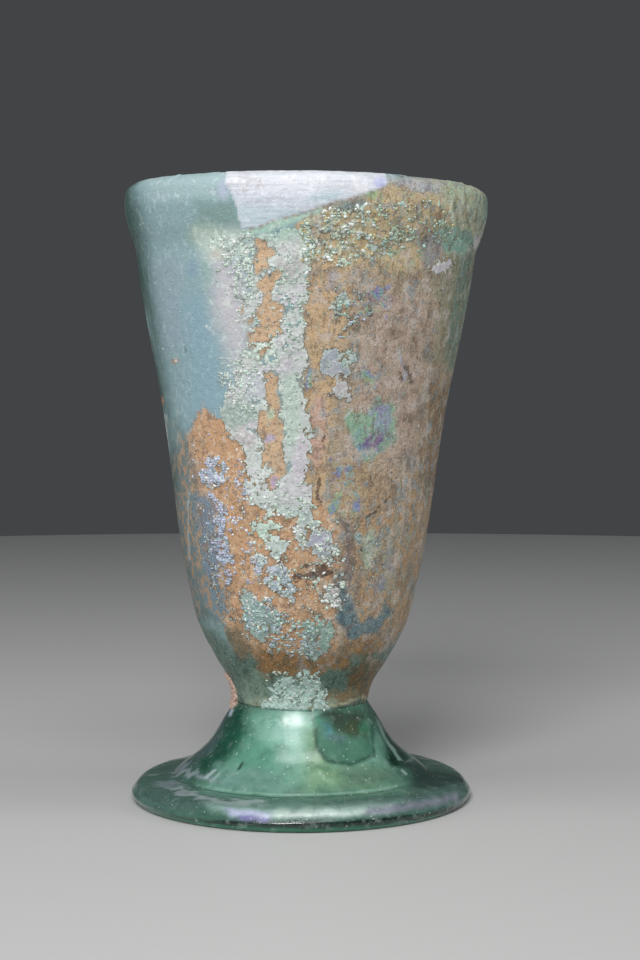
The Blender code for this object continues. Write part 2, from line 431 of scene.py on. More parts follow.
zone(TEAL_EDGE, (100, 124, 110), (134, 132, 106), 0.44, 1.0, RAGGED)
zone(oval(30.0, 116.4, 4.4, 2.8, 20), (120, 164, 148), (148, 184, 166), 0.45, 1.0, RAGGED)
zone([(35.4, 134), (60, 134), (60, 114), (36.2, 116)], (132, 168, 154), (176, 196, 184), 0.4, 0.8, CALM, True)
zone(LIP_STRIP, (150, 154, 156), (190, 194, 202), 0.35, 0.6, RAGGED)
zone(oval(9.4, 122.9, 3.2, 1.0, -12), (118, 136, 132), (140, 150, 150), 0.4, 0.5)
zone(GREY_VIOLET, (136, 136, 138), (150, 140, 130), 0.4, 0.8)
touch(oval(13.9, 125.2, 1.2, 1.0), (146, 174, 126), 0.5)
touch(oval(27.8, 107, 2.6, 2.8), (142, 142, 122), 1.6, CALM, 0.7)
touch(oval(22.2, 108.2, 2.2, 1.4, 20), (128, 114, 102), 1.0, RAGGED, 0.7)
touch(oval(15.6, 104.6, 2.8, 1.3), (140, 122, 126), 0.8, RAGGED, 0.8)
touch(oval(6, 108, 1.4, 2.2, 15), (158, 160, 172), 0.7, RAGGED, 0.7)
put(sheen, 0.16, cover(RIGHT, 2.0, CALM, True))
PALE_PEELS = [(20.8, 99.4, 0.5, 1.4), (23.6, 101.2, 0.9, 0.6), (19.2, 84.6, 0.6, 1.8), (24.8, 78.4, 0.5, 2.4)]
PALE_PEELS += [(12.2, 96.8, 1.2, 0.8), (16.6, 93.2, 0.7, 1.0), (18.2, 75.6, 0.6, 2.2), (22.2, 62.4, 0.7, 2.6)]
DARK_SPOTS = [(17.6, 98.8, 0.8, 1.4), (22.0, 95.0, 0.7, 2.0), (14.8, 85.6, 0.6, 1.6), (21.4, 80.0, 0.6, 2.6)]
DARK_SPOTS += [(10.8, 98.6, 0.9, 0.9), (25.6, 86.4, 0.5, 2.8), (13.6, 68.2, 0.6, 1.8), (19.8, 57.0, 0.7, 2.2)]
for spot in PALE_PEELS:
    touch(oval(*spot), (186, 170, 154), 0.4, RAGGED, 0.7)
for spot in DARK_SPOTS:
    touch(oval(*spot), (124, 104, 88), 0.5, RAGGED, 0.75)
RAINBOW_DRIFTS = [
    (0.5, 0.9, oval(14.6, 105, 2.6, 2.2)),
    (0.44, 0.9, oval(15.6, 72.6, 2.2, 3.4)),
    (0.4, 2.0, oval(9.5, 66.5, 6.5, 7.5)),
    (0.46, 1.6, oval(13.4, 103.4, 4.4, 3.4)),
    (0.36, 1.6, oval(13, 90, 4.5, 4)),
    (0.3, 2.0, oval(16, 70, 5, 14)),
    (0.66, 0.5, oval(15.8, 106.2, 0.7, 2.4, 48)),
    (0.66, 0.5, oval(12.4, 102.2, 0.8, 1.6, 10)),
    (0.72, 0.4, oval(0.9, 88.4, 0.7, 2.8, 12)),
    (0.66, 0.5, oval(13.4, 88.9, 1.6, 0.7, 45)),
    (0.64, 0.5, oval(6, 71.4, 1.1, 0.9)),
    (0.64, 0.5, oval(7.4, 69.8, 0.8, 1.4)),
    (0.62, 0.5, oval(9.2, 68.6, 0.8, 2.2)),
    (0.68, 0.5, oval(6.6, 63.6, 0.9, 2.4, 30)),
    (0.68, 0.5, oval(10.4, 61.8, 0.8, 2.2, 35)),
]
for share, soft, outline in RAINBOW_DRIFTS:
    put(sheen, share, cover(outline, soft))

# Below, the ochre soil shows between the plates, then brown, and at the neck a dark film
OCHRE_PATCH = [(-20, 83.2), (-18.2, 81.4), (-15.8, 80.6), (-12.6, 76.2), (-8.2, 70.2), (-4.6, 66.2)]
OCHRE_PATCH += [(1.4, 64.2), (6.4, 61.2), (7.4, 52.2), (6.4, 40.2), (7.4, 33), (-6, 30), (-11.6, 34)]
OCHRE_PATCH += [(-15, 38.2), (-16.6, 42), (-18, 46), (-19.6, 50.2), (-21.4, 54.2), (-22, 58)]
OCHRE_PATCH += [(-22.4, 62), (-23.4, 66), (-23, 70.2), (-24, 73.2), (-23.6, 76.2), (-21.6, 81.2)]
MOTTLED = [(7.4, 60), (12.4, 64.4), (27, 66), (23, 36), (9.8, 34), (7.4, 42), (9.2, 51)]
NECK = [(-60, 41), (-24, 41), (-17.6, 38), (-14, 34), (16, 34), (22, 38), (60, 38), (60, 10), (-60, 10)]
DIAGONAL = [(6.4, 50.2), (8, 49.2), (9.8, 44.2), (11.8, 39.2), (15.4, 41.8), (16.4, 44.2), (17.8, 42.2)]
DIAGONAL += [(16.4, 40.2), (15.4, 38.2), (12.4, 36.6), (9.4, 35.2), (8.4, 38.2), (6.4, 40.2), (7.4, 43.2)]
LOW_OCHRE = [(-9, 35.2), (-0.6, 33), (8.4, 33.6), (9.6, 30.8), (-0.6, 29), (-6.2, 29.8)]
LOW_OCHRE += [(-7.6, 27), (-9.4, 28)]
LEFT_FRINGE = [(-25, 80), (-22.6, 76), (-21.2, 67), (-19.6, 64.4), (-17.8, 58), (-17.4, 50), (-16.4, 43)]
LEFT_FRINGE += [(-22, 42), (-25.6, 60)]
LUMPS_HIGH = [(-21.2, 71), (-18.6, 74.2), (-16.8, 73), (-15, 70.4), (-15.8, 67), (-18.6, 66.2), (-20.4, 67.2)]
LUMPS_MIDDLE = [(-19.2, 66), (-17, 65.2), (-14.8, 61), (-14.6, 57.4), (-17.2, 58), (-18, 62)]
LUMPS_LOW = [(-18.6, 58.6), (-15.2, 58.2), (-13.8, 52), (-14.2, 47), (-15.8, 46.4), (-17, 51)]
BLUE_FRINGE = [(-21.6, 65), (-18, 65), (-17, 57), (-17, 50), (-19.4, 49)]
BROWN_CORNER = [(-15.6, 39), (-12, 37.6), (-9.4, 34), (-11.8, 31.8), (-14.6, 35)]
zone(MOTTLED, (168, 138, 104), (134, 132, 118), 0.48, 2.6, RAGGED)
zone(NECK, (98, 128, 116), (66, 92, 80), 0.42, 1.6, RAGGED, True)
zone(OCHRE_PATCH, (192, 152, 116), (210, 184, 154), 0.38, 0.3, RAGGED)
zone(LEFT_FRINGE, (106, 124, 126), (178, 142, 108), 0.46, 1.8, RAGGED)
zone(BLUE_FRINGE, (116, 134, 150), (150, 140, 128), 0.42, 1.0, RAGGED)
zone(oval(-17, 44.5, 2.0, 5, -14), (112, 132, 142), (170, 134, 98), 0.46, 0.8, RAGGED)
zone(BROWN_CORNER, (126, 110, 84), (92, 100, 84), 0.46, 0.8, RAGGED)
zone(LOW_OCHRE, (166, 122, 74), (112, 92, 62), 0.48, 0.8, RAGGED)
zone(oval(-9.6, 26.4, 3.0, 3.6, -20), (136, 160, 144), (104, 130, 112), 0.45, 1.0, RAGGED)
zone(DIAGONAL, (96, 120, 126), (72, 92, 104), 0.42, 0.7, RAGGED)
put(sheen, 0.03, cover(DIAGONAL, 0.7))
zone(oval(12, 34.8, 4.6, 1.9, -14), (138, 112, 76), (166, 126, 78), 0.45, 0.6, RAGGED)
zone(oval(12.6, 28.6, 3.4, 4.6, 30), (128, 98, 62), (80, 92, 72), 0.5, 0.5, RAGGED)
zone(oval(7.4, 24.8, 4.2, 1.6, -14), (140, 120, 88), (110, 128, 106), 0.48, 0.5, RAGGED)
zone([(-11, 24.2), (7, 24.2), (6, 21), (-11, 21)], (168, 188, 166), (190, 206, 186), 0.4, 0.8)
zone([(14, 58), (20, 60), (19, 46), (15, 44)], (162, 142, 114), (136, 140, 128), 0.5, 1.2)
BROWN_RUN = [(7.4, 60.2), (9.8, 59.2), (10.6, 52.2), (9, 46.2), (8, 49.2), (8.4, 54.2)]
zone(BROWN_RUN, (136, 118, 108), (104, 112, 116), 0.46, 0.9, RAGGED)
zone(oval(13.2, 54.4, 1.3, 4.4, 6), (154, 166, 144), (174, 184, 166), 0.4, 0.5)
touch(oval(11.2, 56.6, 0.8, 1.2), (154, 178, 176), 0.3)
touch(oval(15.2, 47.4, 0.9, 2.0, 15), (118, 132, 152), 0.7, RAGGED, 0.8)
touch(oval(17.4, 50.6, 0.9, 1.2), (110, 106, 120), 0.6, RAGGED, 0.8)
touch(oval(21.6, 47.8, 0.8, 3.6, -8), (116, 126, 122), 0.7, RAGGED, 0.8)
GREY_SPOTS = [(21.6, 72, 1.3, 2.2), (25, 67.6, 0.7, 1.8), (23.6, 82.6, 0.6, 2.4), (25.2, 93.4, 0.8, 1.8)]
for spot in GREY_SPOTS:
    touch(oval(*spot), (118, 116, 112), 1.0, RAGGED, 0.8)
touch(oval(20.4, 68, 0.6, 4.0, -4), (178, 166, 150), 0.5, CALM, 0.8)

# The pale crust that runs down the middle, and the gaps in it
MIDDLE_CRUST = [(-13.2, 115.2), (-11.6, 116.6), (-8.2, 117.4), (-4.2, 118.2), (-0.6, 119.4), (1.8, 119.4)]
MIDDLE_CRUST += [(2.4, 116.2), (3, 114.2), (1.8, 111.8), (0.6, 109.2), (0.2, 104.2), (0.6, 98.2), (0.4, 92.2)]
MIDDLE_CRUST += [(-0.6, 89.8), (-0.2, 87.2), (0.6, 84.2), (1.2, 80.2), (1.2, 72.2), (0.8, 68.2), (1.8, 64.2)]
MIDDLE_CRUST += [(1, 60.2), (1.4, 57.8), (0, 54.8), (-1.6, 56.6), (-2.4, 58.6), (-1.6, 60.2), (-4, 61.6)]
MIDDLE_CRUST += [(-6.6, 60.4), (-8.2, 60.8), (-7, 62.4), (-10, 63.2), (-10.8, 65.2), (-11.4, 68.2)]
MIDDLE_CRUST += [(-12, 70.6), (-11.4, 73), (-12, 75), (-13.6, 76), (-15.4, 77.8), (-16.4, 80.2)]
MIDDLE_CRUST += [(-16.2, 82.6), (-15, 84.4), (-15.2, 87.2), (-14.2, 89.8), (-13, 91.8), (-12.2, 95.2)]
MIDDLE_CRUST += [(-11.4, 97.2), (-11.6, 100.6), (-11.2, 104.2), (-10.4, 106.2), (-11.2, 108.8), (-12, 111.8)]
plate(MIDDLE_CRUST, (200, 205, 202))
OCHRE_HOLES = (200, 168, 134), (186, 174, 150)
GAP_BY_STREAK = [(-8, 90), (-5.6, 89.6), (-3.8, 88.2), (-4.4, 87), (-5.2, 85.8), (-4.8, 83.8), (-4.4, 81.2)]
GAP_BY_STREAK += [(-3.8, 78.2), (-3.4, 75.2), (-3.4, 69.2), (-4.4, 68.4), (-5.6, 66.2), (-7, 66)]
GAP_BY_STREAK += [(-7.4, 68.2), (-6.2, 70.2), (-7, 71.4), (-8.2, 70.6), (-9, 73.2), (-8, 75.6), (-9.6, 77.8)]
GAP_BY_STREAK += [(-9, 81), (-7.6, 82.4), (-7.8, 85.4)]
GAP_HIGH = [(-9.4, 116), (-8.2, 116.6), (-6.6, 115.8), (-6, 114.2), (-6.4, 112.6), (-7.4, 111.8)]
GAP_HIGH += [(-6.6, 110.6), (-7.8, 109.2), (-9, 108.8), (-9.6, 110.6), (-9.8, 113.2)]
GAP_MIDDLE = [(-9.2, 108.2), (-7, 108.8), (-5.4, 110.2), (-3.6, 109.4), (-3.8, 108), (-5.6, 106.6)]
GAP_MIDDLE += [(-6.6, 104.2), (-4.4, 103.6), (-3.4, 102.4), (-4.4, 100.6), (-4, 97.6), (-5.4, 95.8)]
GAP_MIDDLE += [(-6.6, 94.2), (-8.2, 92.6), (-9, 94.2), (-10.8, 95.2), (-11.2, 96.2), (-9.8, 98.6), (-8.2, 99)]
GAP_MIDDLE += [(-9.4, 100), (-11.4, 100), (-9, 101.6), (-8.4, 103.6), (-9, 105.8)]
for gap in (GAP_HIGH, GAP_MIDDLE, oval(-11.9, 102, 0.9, 1.0), oval(-0.3, 118.4, 1.0, 1.4), GAP_BY_STREAK):
    hole(gap, *OCHRE_HOLES)
hole(oval(-7, 88.4, 1.2, 1.0), *OCHRE_HOLES)
touch(oval(-6.6, 76.4, 1.0, 1.0), (178, 168, 190), 0.3, RAGGED)
touch(oval(-5.6, 67.6, 0.6, 1.6, 10), (178, 160, 190), 0.3, RAGGED)
touch(oval(-6.2, 81.4, 0.8, 1.2), (186, 200, 172), 0.3, RAGGED)
GREEN_BAY = [(-16.2, 82.6), (-14.6, 84.6), (-11.6, 84.8), (-9.4, 83.2), (-9, 80.6), (-13, 78), (-16.4, 80.2)]
CRUST_TINTS = [
    (GREEN_BAY, (164, 180, 172)),
    (oval(-11.4, 77, 2.6, 2.4), (192, 186, 186)),
    # Pale tints down the smooth run, partly a painted reflection
    (oval(-0.3, 72, 1.5, 6), (200, 192, 200)),
    (oval(-2.4, 82, 2.2, 9), (184, 200, 190)),
    (oval(-5.6, 91.2, 3.6, 1.6), (196, 190, 198)),
    (oval(-9.6, 87, 2.6, 3.4), (190, 194, 202)),
    (oval(-2.6, 110.6, 3.0, 3.4), (186, 184, 182)),
    (oval(-2.6, 104, 2.2, 1.6), (198, 186, 200)),
    ([(-11, 117.8), (-3.6, 120), (1.4, 121), (1.4, 117), (-10, 115)], (180, 206, 192)),
    (oval(-3, 61.4, 4.6, 1.6), (186, 206, 196)),
]
for outline, colour in CRUST_TINTS:
    put(tint, display(*colour), cover(outline, 1.0, CALM))

# Beads of crust in drifts, blue-white on the left, green and white along the plates
islands(LUMPS_HIGH, 0.4, (182, 194, 218))
islands(LUMPS_MIDDLE, 0.3, (172, 186, 214))
islands(LUMPS_LOW, 0.4, (164, 178, 206))
islands([(-19.4, 55), (-17.4, 54), (-16.2, 46), (-17, 41), (-18.6, 47)], -0.5, (128, 146, 164))
islands([(-15.4, 73), (-12.4, 71), (-9.8, 60), (-8.4, 48), (-13, 47), (-14.4, 60)], -0.6, (186, 196, 212))
islands([(-8, 44), (3.6, 41), (4, 33.6), (-6.6, 33)], -0.38, (168, 188, 196))
islands([(-6, 50), (9, 56), (9.6, 43), (2, 36), (-4, 43)], -0.62, (186, 202, 194))
islands([(-18.4, 48), (-14.4, 47), (-11, 38), (-16.4, 38)], -0.45, (138, 156, 172))
islands([(4, 106), (14, 107), (14.6, 97.6), (7, 97)], -0.5, (150, 172, 168))
islands([(5, 62), (16, 61), (17, 50), (9, 44)], -0.62, (164, 176, 164))
islands(GLITTER, -0.34, (196, 208, 184))
islands([(12.6, 123), (26, 125), (31, 120), (28, 115), (18, 112.6), (13.6, 113)], -0.5, (160, 184, 150))
islands([(-17.4, 92.6), (-12, 93.4), (-12.6, 84), (-16.4, 86)], -0.4, (206, 216, 208))
islands([(-18, 117), (-9.6, 118), (-9.6, 104), (-13, 102), (-15.4, 108)], -0.12, (200, 214, 204))
islands([(-11, 97), (-6, 96), (-4.6, 91), (-9, 91.6), (-13, 93.4)], -0.2, (206, 220, 208))

# Smaller plates of crust, each with its own tint
NECK_PLATE = [(-7.4, 24.2), (-5.4, 28.4), (-1.2, 29), (3, 30), (4, 26.6), (5.6, 22), (-9, 21)]
PLATES = [
    ((154, 162, 170), [(3.8, 94.2), (7.8, 93.6), (9.4, 92.2), (9.8, 89.2), (7.4, 88.6), (3, 89.4)]),
    ((174, 170, 170), [(6, 88), (9.4, 88), (9.4, 84.6), (7.4, 84.2), (5.6, 85.2)]),
    ((138, 170, 158), oval(9.8, 92.6, 1.2, 0.9, 20)),
    ((156, 178, 160), [(8, 106.4), (9.2, 103.6), (8.6, 101.2), (7.4, 100.6), (6.2, 102.2), (4.6, 101.6)]),
    ((148, 178, 168), [(10.2, 106.4), (12.2, 106.8), (13, 106.2), (12.8, 103.6), (11.2, 102.8)]),
    ((190, 182, 188), [(25.6, 110.6), (28.4, 112.6), (29.8, 113), (30, 111.6), (28.6, 109.8)]),
    ((188, 182, 188), oval(34.6, 116.2, 0.6, 1.5, 25)),
    ((150, 178, 164), oval(14.1, 114.4, 1.5, 1.0)),
    ((144, 164, 164), oval(14.2, 116.6, 2.2, 0.6, 8)),
    ((184, 206, 192), [(-10.6, 59.2), (-6.6, 59.6), (-4.6, 59.2), (-7, 57), (-7.6, 56.2)]),
    ((184, 206, 194), [(-8.2, 55.2), (-6.6, 56.6), (-3.8, 56.8), (-3, 54.2), (-3.4, 51.2), (-6.6, 53.8)]),
    ((180, 200, 196), oval(-9, 52, 1.1, 1.8)),
    ((174, 188, 202), [(-7.6, 50.6), (-3.6, 51), (-2.2, 49.4), (-1.8, 44), (-3.8, 45.2), (-6.8, 48)]),
    ((168, 178, 178), [(1, 61.2), (3.8, 58.2), (6, 58.2), (6.2, 53), (8.4, 51.8), (4.4, 51.6), (1, 54.6)]),
    ((136, 160, 156), [(-12, 45.8), (-8.2, 44.2), (-4.6, 41.8), (-4.4, 38.4), (-8.2, 35.8), (-12, 39)]),
    ((194, 190, 186), [(3.4, 44.6), (6.6, 47.6), (7.4, 45.2), (8.4, 43.8), (7, 42.6)]),
    ((138, 168, 156), [(0.4, 39.2), (5.4, 39.8), (6.4, 37.8), (4.4, 33.2), (1.8, 32.2), (0, 36.2)]),
    ((194, 222, 214), NECK_PLATE),
    ((196, 210, 200), oval(0.9, 42.6, 1.1, 0.9)),
]
for colour, outline in PLATES:
    plate(outline, colour)
put(tint, display(166, 166, 184), cover(oval(3.4, 55.4, 2.2, 2.4), 0.8))
put(grit, 0.5, cover(NECK_PLATE, 0.6))
touch(oval(-1.4, 25.6, 5.6, 3.2), (148, 178, 168), 1.0, RAGGED, 0.8)

# A patch of rainbow film on the right
RAINBOW = [(7.8, 80.4), (9.4, 82.2), (13, 82), (15.4, 85), (17.8, 83), (18.6, 79.4), (18.8, 76.4), (16, 73.4)]
RAINBOW += [(13, 72.4), (11, 73.6), (10.2, 76), (9, 78.2)]
zone(RAINBOW, (132, 168, 140), (150, 164, 146), 0.3, 0.35, RAGGED)
on_rainbow = cover(RAINBOW, 0.4)
for outline, colour in (
    (oval(11.4, 75.6, 1.7, 2.6, 20), (100, 144, 168)),
    (oval(15.8, 81.4, 2.4, 2.8), (146, 146, 184)),
    (oval(14.8, 76.2, 3.4, 1.9, -24), (110, 92, 130)),
):
    covered = cover(outline, 1.1) * on_rainbow * smoothstep(-0.5, 0.2, coarse[1] + small[0])
    put(ground, display(*colour), covered)
    put(flecks, display(*colour) * 1.3, covered)
touch(oval(12.9, 88.6, 1.5, 0.7, 45), (140, 168, 138), 0.4, RAGGED)
touch([(8.2, 80.8), (10, 82.8), (10.3, 82.5), (8.5, 80.5)], (196, 204, 200), 0.15, STILL, 0.7)
put(sheen, 0.3, on_rainbow)

# The mended piece of wall at the rim, pale above and grey-blue below, with streaks along it
SHERD = [(-15.4, 134), (-15.4, 129.8), (-15.6, 127.6), (-14.6, 126.2), (-13.4, 123.2), (-12.6, 119.8)]
SHERD += [(-12, 118.2), (-8.2, 119.2), (-3.6, 120.8), (1.4, 122.2), (6.4, 124), (9.8, 124.5), (12.6, 125.6)]
SHERD += [(15.4, 126.5), (17, 127.6), (16.6, 129), (16.2, 134)]
BAND_BELOW = [(-12, 118), (-3.6, 120.8), (1.4, 122.2), (4.4, 123.2), (3, 121.6), (-3.6, 119.4), (-11, 117.2)]
zone(BAND_BELOW, (172, 206, 190), (200, 222, 208), 0.42, 0.5, RAGGED)
put(crust, -4.0, cover(BAND_BELOW, 0.4))
on_sherd = cover(SHERD, 0.12, STILL)
SHERD_LOW = [(-14.6, 126.4), (2, 126), (9, 125.6), (8, 121), (-12.2, 116)]
SHERD_COLOURS = [
    (SHERD, (206, 209, 216), (222, 222, 228), 0.2, STILL),
    (SHERD_LOW, (204, 210, 220), (220, 224, 232), 1.3, CALM),
    ([(-14.0, 123.4), (-2, 122.6), (2, 121), (-12.2, 116)], (190, 206, 214), (204, 216, 222), 1.4, CALM),
    (oval(4.4, 124.9, 3.8, 1.0, -10), (178, 196, 204), (200, 210, 220), 0.7, CALM),
    (oval(15.4, 127.6, 1.6, 1.2), (176, 182, 214), (192, 196, 222), 0.5, CALM),
]
for outline, colour, fleck, soft, edge in SHERD_COLOURS:
    covered = cover(outline, soft, edge) * on_sherd
    put(ground, display(*colour), covered)
    put(flecks, display(*fleck), covered)
put(flecked, 0.4, on_sherd)
put(sheen, 0.0, on_sherd)
put(wiped, 1.0, on_sherd)
put(crust, -4.0, on_sherd)
crackled = cover(oval(-10.8, 126.8, 4.0, 2.6, 10), 1.2) * smoothstep(0.05, 0.3, small[1])
put(ground, display(170, 156, 164), crackled * on_sherd * 0.5)

# Stains, cracks, the pale hooked vein, and stripes of painted highlight and shade on the rim's ridges
STAINS = [
    ([(-1.2, 48.8), (1.2, 49.2), (3.2, 49.4), (5.2, 49.6)], 0.8),
    ([(2.6, 50.4), (4.4, 50.6)], 0.7),
    ([(-0.2, 51), (0.8, 50.9)], 0.2),
    ([(20.6, 91.2), (21.4, 88.6), (21.8, 87.8)], 0.45),
    ([(19.2, 89.6), (19.6, 88.4)], 0.3),
    ([(4.4, 78.6), (4.2, 76.4), (3.6, 75)], 0.1),
    ([(3.2, 68.2), (3, 65.4), (3.4, 63.2)], 0.5),
    ([(18, 70.2), (17.8, 66.2)], 0.05),
    ([(18.4, 65.6), (16.6, 64.4), (15, 62.6), (13.2, 61.2), (11.6, 59.8)], 0.15),
    ([(2, 47.4), (3.4, 45.6)], 0.15),
    ([(11.6, 55.6), (11.9, 54.4)], 0.15),
]
for line, width in STAINS:
    mark(line, width)
FINE_LINES = [
    ([(19.2, 94.2), (19.4, 92), (20.2, 90.4), (20.8, 89.6), (20, 88.2)], 0.26, (158, 166, 192)),
    ([(-22.8, 66), (-23.0, 60), (-22.7, 52)], 0.12, (170, 176, 174)),
    ([(-23.8, 95.2), (-23.4, 93.8)], 0.16, (84, 100, 102)),
    ([(-23.2, 77.2), (-21.6, 79.2)], 0.12, (176, 190, 194)),
    ([(-19, 104.2), (-18.2, 103.2)], 0.14, (214, 224, 222)),
    ([(-19.2, 99), (-17.8, 97.8)], 0.16, (214, 224, 222)),
    ([(8.4, 47.2), (9.8, 44.2), (11, 41.2)], 0.14, (150, 158, 160)),
    ([(-27.6, 81), (-27, 72)], 0.3, (168, 178, 176)),
    ([(-28.2, 84.6), (-28.1, 83.4)], 0.3, (186, 140, 104)),
    ([(-11.8, 118.1), (-3.6, 120.6), (1.4, 122), (6.4, 123.8), (12.6, 125.4)], 0.1, (172, 146, 130)),
    ([(-25.4, 92.5), (-24.9, 92), (-25.4, 91.5), (-25.9, 92), (-25.4, 92.5)], 0.16, (160, 132, 112)),
    ([(-25.4, 92.1), (-25.4, 91.9)], 0.2, (226, 218, 214)),
    ([(-4, 22.7), (2, 22.5), (8, 23.5), (12.6, 25)], 0.2, (204, 204, 166)),
    # Painted shade (dark) and painted highlights (pale) in stripes along the ridges at the right of the rim
    ([(30.8, 124.8), (30.3, 122), (31.1, 119)], 0.3, (112, 130, 104)),
    ([(32.5, 124.6), (32.2, 122), (33, 118.8)], 0.3, (114, 134, 108)),
    ([(30.0, 125.2), (29.5, 122.4), (30.3, 119.2)], 0.24, (206, 216, 190)),
    ([(31.7, 125), (31.3, 122.4), (32.2, 118.6)], 0.24, (216, 220, 194)),
    ([(33.3, 124.4), (33.1, 121.6), (33.9, 118.8)], 0.24, (210, 220, 200)),
]
for line, width, colour in FINE_LINES:
    put(ground, display(*colour), smoothstep(-0.15, 0.15, width - along(line, CALM)) * (facing > 0))

# The crust is thin enough to have holes, except along one smooth run, whose unbroken pale crust is partly a
# painted reflection of a tall lamp
SMOOTH_RUN_AND_REFLECTION = oval(-1.2, 79, 2.4, 15)
smooth_run_and_reflection = cover(SMOOTH_RUN_AND_REFLECTION, 0.8)
np.minimum(crust, 0.75 + 3 * smooth_run_and_reflection, out=crust)

# The back is plainer: soil in soft clouds, and broken plates of crust
put(ground, display(150, 122, 94), smoothstep(0.05, 0.4, -drift) * far_side * 0.8)
put(flecks, display(132, 128, 112), smoothstep(0.0, 0.3, -drift) * far_side)
put(tint, display(150, 172, 166), smoothstep(-0.2, 0.3, drift) * far_side)
put(grit, 0.5, far_side * smoothstep(-0.1, 0.3, coarse[1]))
np.maximum(crust, (cloud + coarse[0] * 0.35 - 0.3) * 5 - 9 * (1 - far_side), out=crust)

# Where the shadows of plates are deep
put(depth, 1.0, cover(RIGHT, 1.0, CALM, True))
put(depth, 0.7, cover(NECK, 1.0, CALM, True))
put(depth, 1.0, cover(OCHRE_PATCH, 0.6, CALM))
for gap in (GAP_HIGH, GAP_MIDDLE, GAP_BY_STREAK):
    put(depth, 1.0, cover(gap, 0.9, CALM))

# How knobbly and how bare the surface is
put(grit, 0.6, cover(TAN, 1.0))
put(grit, 0.55, cover(MIDDLE_CRUST, 0.6, RAGGED) * smoothstep(-0.2, 0.3, coarse[0]))
# The smooth run, whose paleness is partly a painted reflection
put(grit, 0.1, smooth_run_and_reflection)
put(grit, 0.05, on_sherd)
put(clear, 0.6, cover([(16.6, 134), (60, 134), (60, 128.9), (19, 128.9)], 0.3, CALM, True))
put(clear, 0.4, cover(RIM_RIGHT, 1.0, CALM, True))
put(clear, 0.3, cover(NECK, 1.0, CALM, True))
put(clear, 0.3, cover(LEFT_EDGE, 2.0, CALM, True))
clear *= 1 - smoothstep(-0.3, 0.2, crust)

# The relief of all this: plates, beads, the mended piece's edge, a blister and ridges at the rim
crusted = smoothstep(-0.4, 0.5, crust + 1.2 * speck)
relief = 0.16 * crusted + 0.28 * grit * crusted * (knobs - 0.35) + 0.05 * coarse[0] + 0.04 * small[0]
relief += 0.16 * smoothstep(-0.2, 0.2, within(SHERD, STILL) - behind)
relief += 0.22 * smoothstep(0.8, 0, np.linalg.norm(places - (-21.6, 121.4), axis=1)) * (facing > 0)
ridges = smoothstep(2.4, 0, np.abs(places[:, 0] - 32.0)) * (facing > 0) * smoothstep(114, 119, places[:, 1])
relief += 0.2 * ridges * np.sin(places[:, 0] * 3.2 + places[:, 1] * 0.35 + coarse[0])
skin = skin + outward * relief[:, None]
skin[:, 2] -= 0.3 * smoothstep(5, 38, skin[:, 0]) * smoothstep(118, 129, skin[:, 2])


class Socket:
    """A socket in a material's tree, which can be reckoned with like a number."""

    def __init__(self, tree, out=None):
        self.tree = tree
        self.out = out

    def node(self, kind, settings, inputs, output=0):
        """Adds a node with its settings, then its sockets' values and links, and gives one of its outputs."""
        made = self.tree.nodes.new("ShaderNode" + kind)
        stops = settings.pop("stops", [])
        for name, value in settings.items():
            setattr(made, name, value)
        for i, (place, colour) in enumerate(stops):
            stop = made.color_ramp.elements[i] if i < 2 else made.color_ramp.elements.new(place)
            stop.position = place
            stop.color = colour
        for name, value in inputs.items():
            if isinstance(value, Socket):
                self.tree.links.new(value.out, made.inputs[name])
            else:
                made.inputs[name].default_value = value
        return Socket(self.tree, made.outputs[output] if len(made.outputs) else None)

    def math(self, operation, *values):
        return self.node("Math", {"operation": operation}, dict(enumerate(values)))

    def __add__(self, other):
        return self.math("ADD", self, other)

    def __sub__(self, other):
        return self.math("SUBTRACT", self, other)

    def __rsub__(self, other):
        return self.math("SUBTRACT", other, self)

    def __mul__(self, other):
        return self.math("MULTIPLY", self, other)

    __radd__ = __add__
    __rmul__ = __mul__

    def step(self, low, high):
        """Nought below low, one above high and smooth between."""
        limits = {"Value": self, "From Min": low, "From Max": high}
        return self.node("MapRange", {"interpolation_type": "SMOOTHSTEP"}, limits)

    def blend(self, other, share):
        """This colour with a share of another."""
        return self.node("Mix", {"data_type": "RGBA"}, {0: share, 6: self, 7: other}, 2)

    def place(self, stretch):
        """Coordinates on the piece, stretched along its three axes."""
        plain = self.node("TexCoord", {}, {}, "Object")
        return self.node("VectorMath", {"operation": "MULTIPLY"}, {0: plain, 1: stretch})

    def grain(self, size, detail=3.0, stretch=(1, 1, 1)):
        """Noise around 0.5 with features of a size in millimetres."""
        inputs = {"Vector": self.place(stretch), "Scale": 1 / (size * MM), "Detail": detail}
        return self.node("TexNoise", {}, inputs | {"Roughness": 0.65})

    def cells(self, size):
        """Distance from the middle of the nearest cell, for cells of a size in millimetres."""
        return self.node("TexVoronoi", {}, {"Vector": self.place((1, 1, 1)), "Scale": 1 / (size * MM)})

    def layer(self, name, output=2):
        """A layer that was painted on the mesh."""
        return self.node("Attribute", {"attribute_name": name}, {}, output)


def new_material(name):
    """A material and the first socket of its empty tree."""
    material = bpy.data.materials.new(name)
    material.use_nodes = True
    material.node_tree.nodes.clear()
    return material, Socket(material.node_tree)


BOWL_GREEN = (0.30, 0.60, 0.46, 1.0)
RAINBOW_STOPS = [
    (0.0, (0.16, 0.13, 0.34, 1)),
    (1.0, (0.40, 0.30, 0.20, 1)),
    (0.35, (0.15, 0.22, 0.46, 1)),
    (0.55, (0.14, 0.34, 0.36, 1)),
    (0.75, (0.26, 0.40, 0.22, 1)),
]

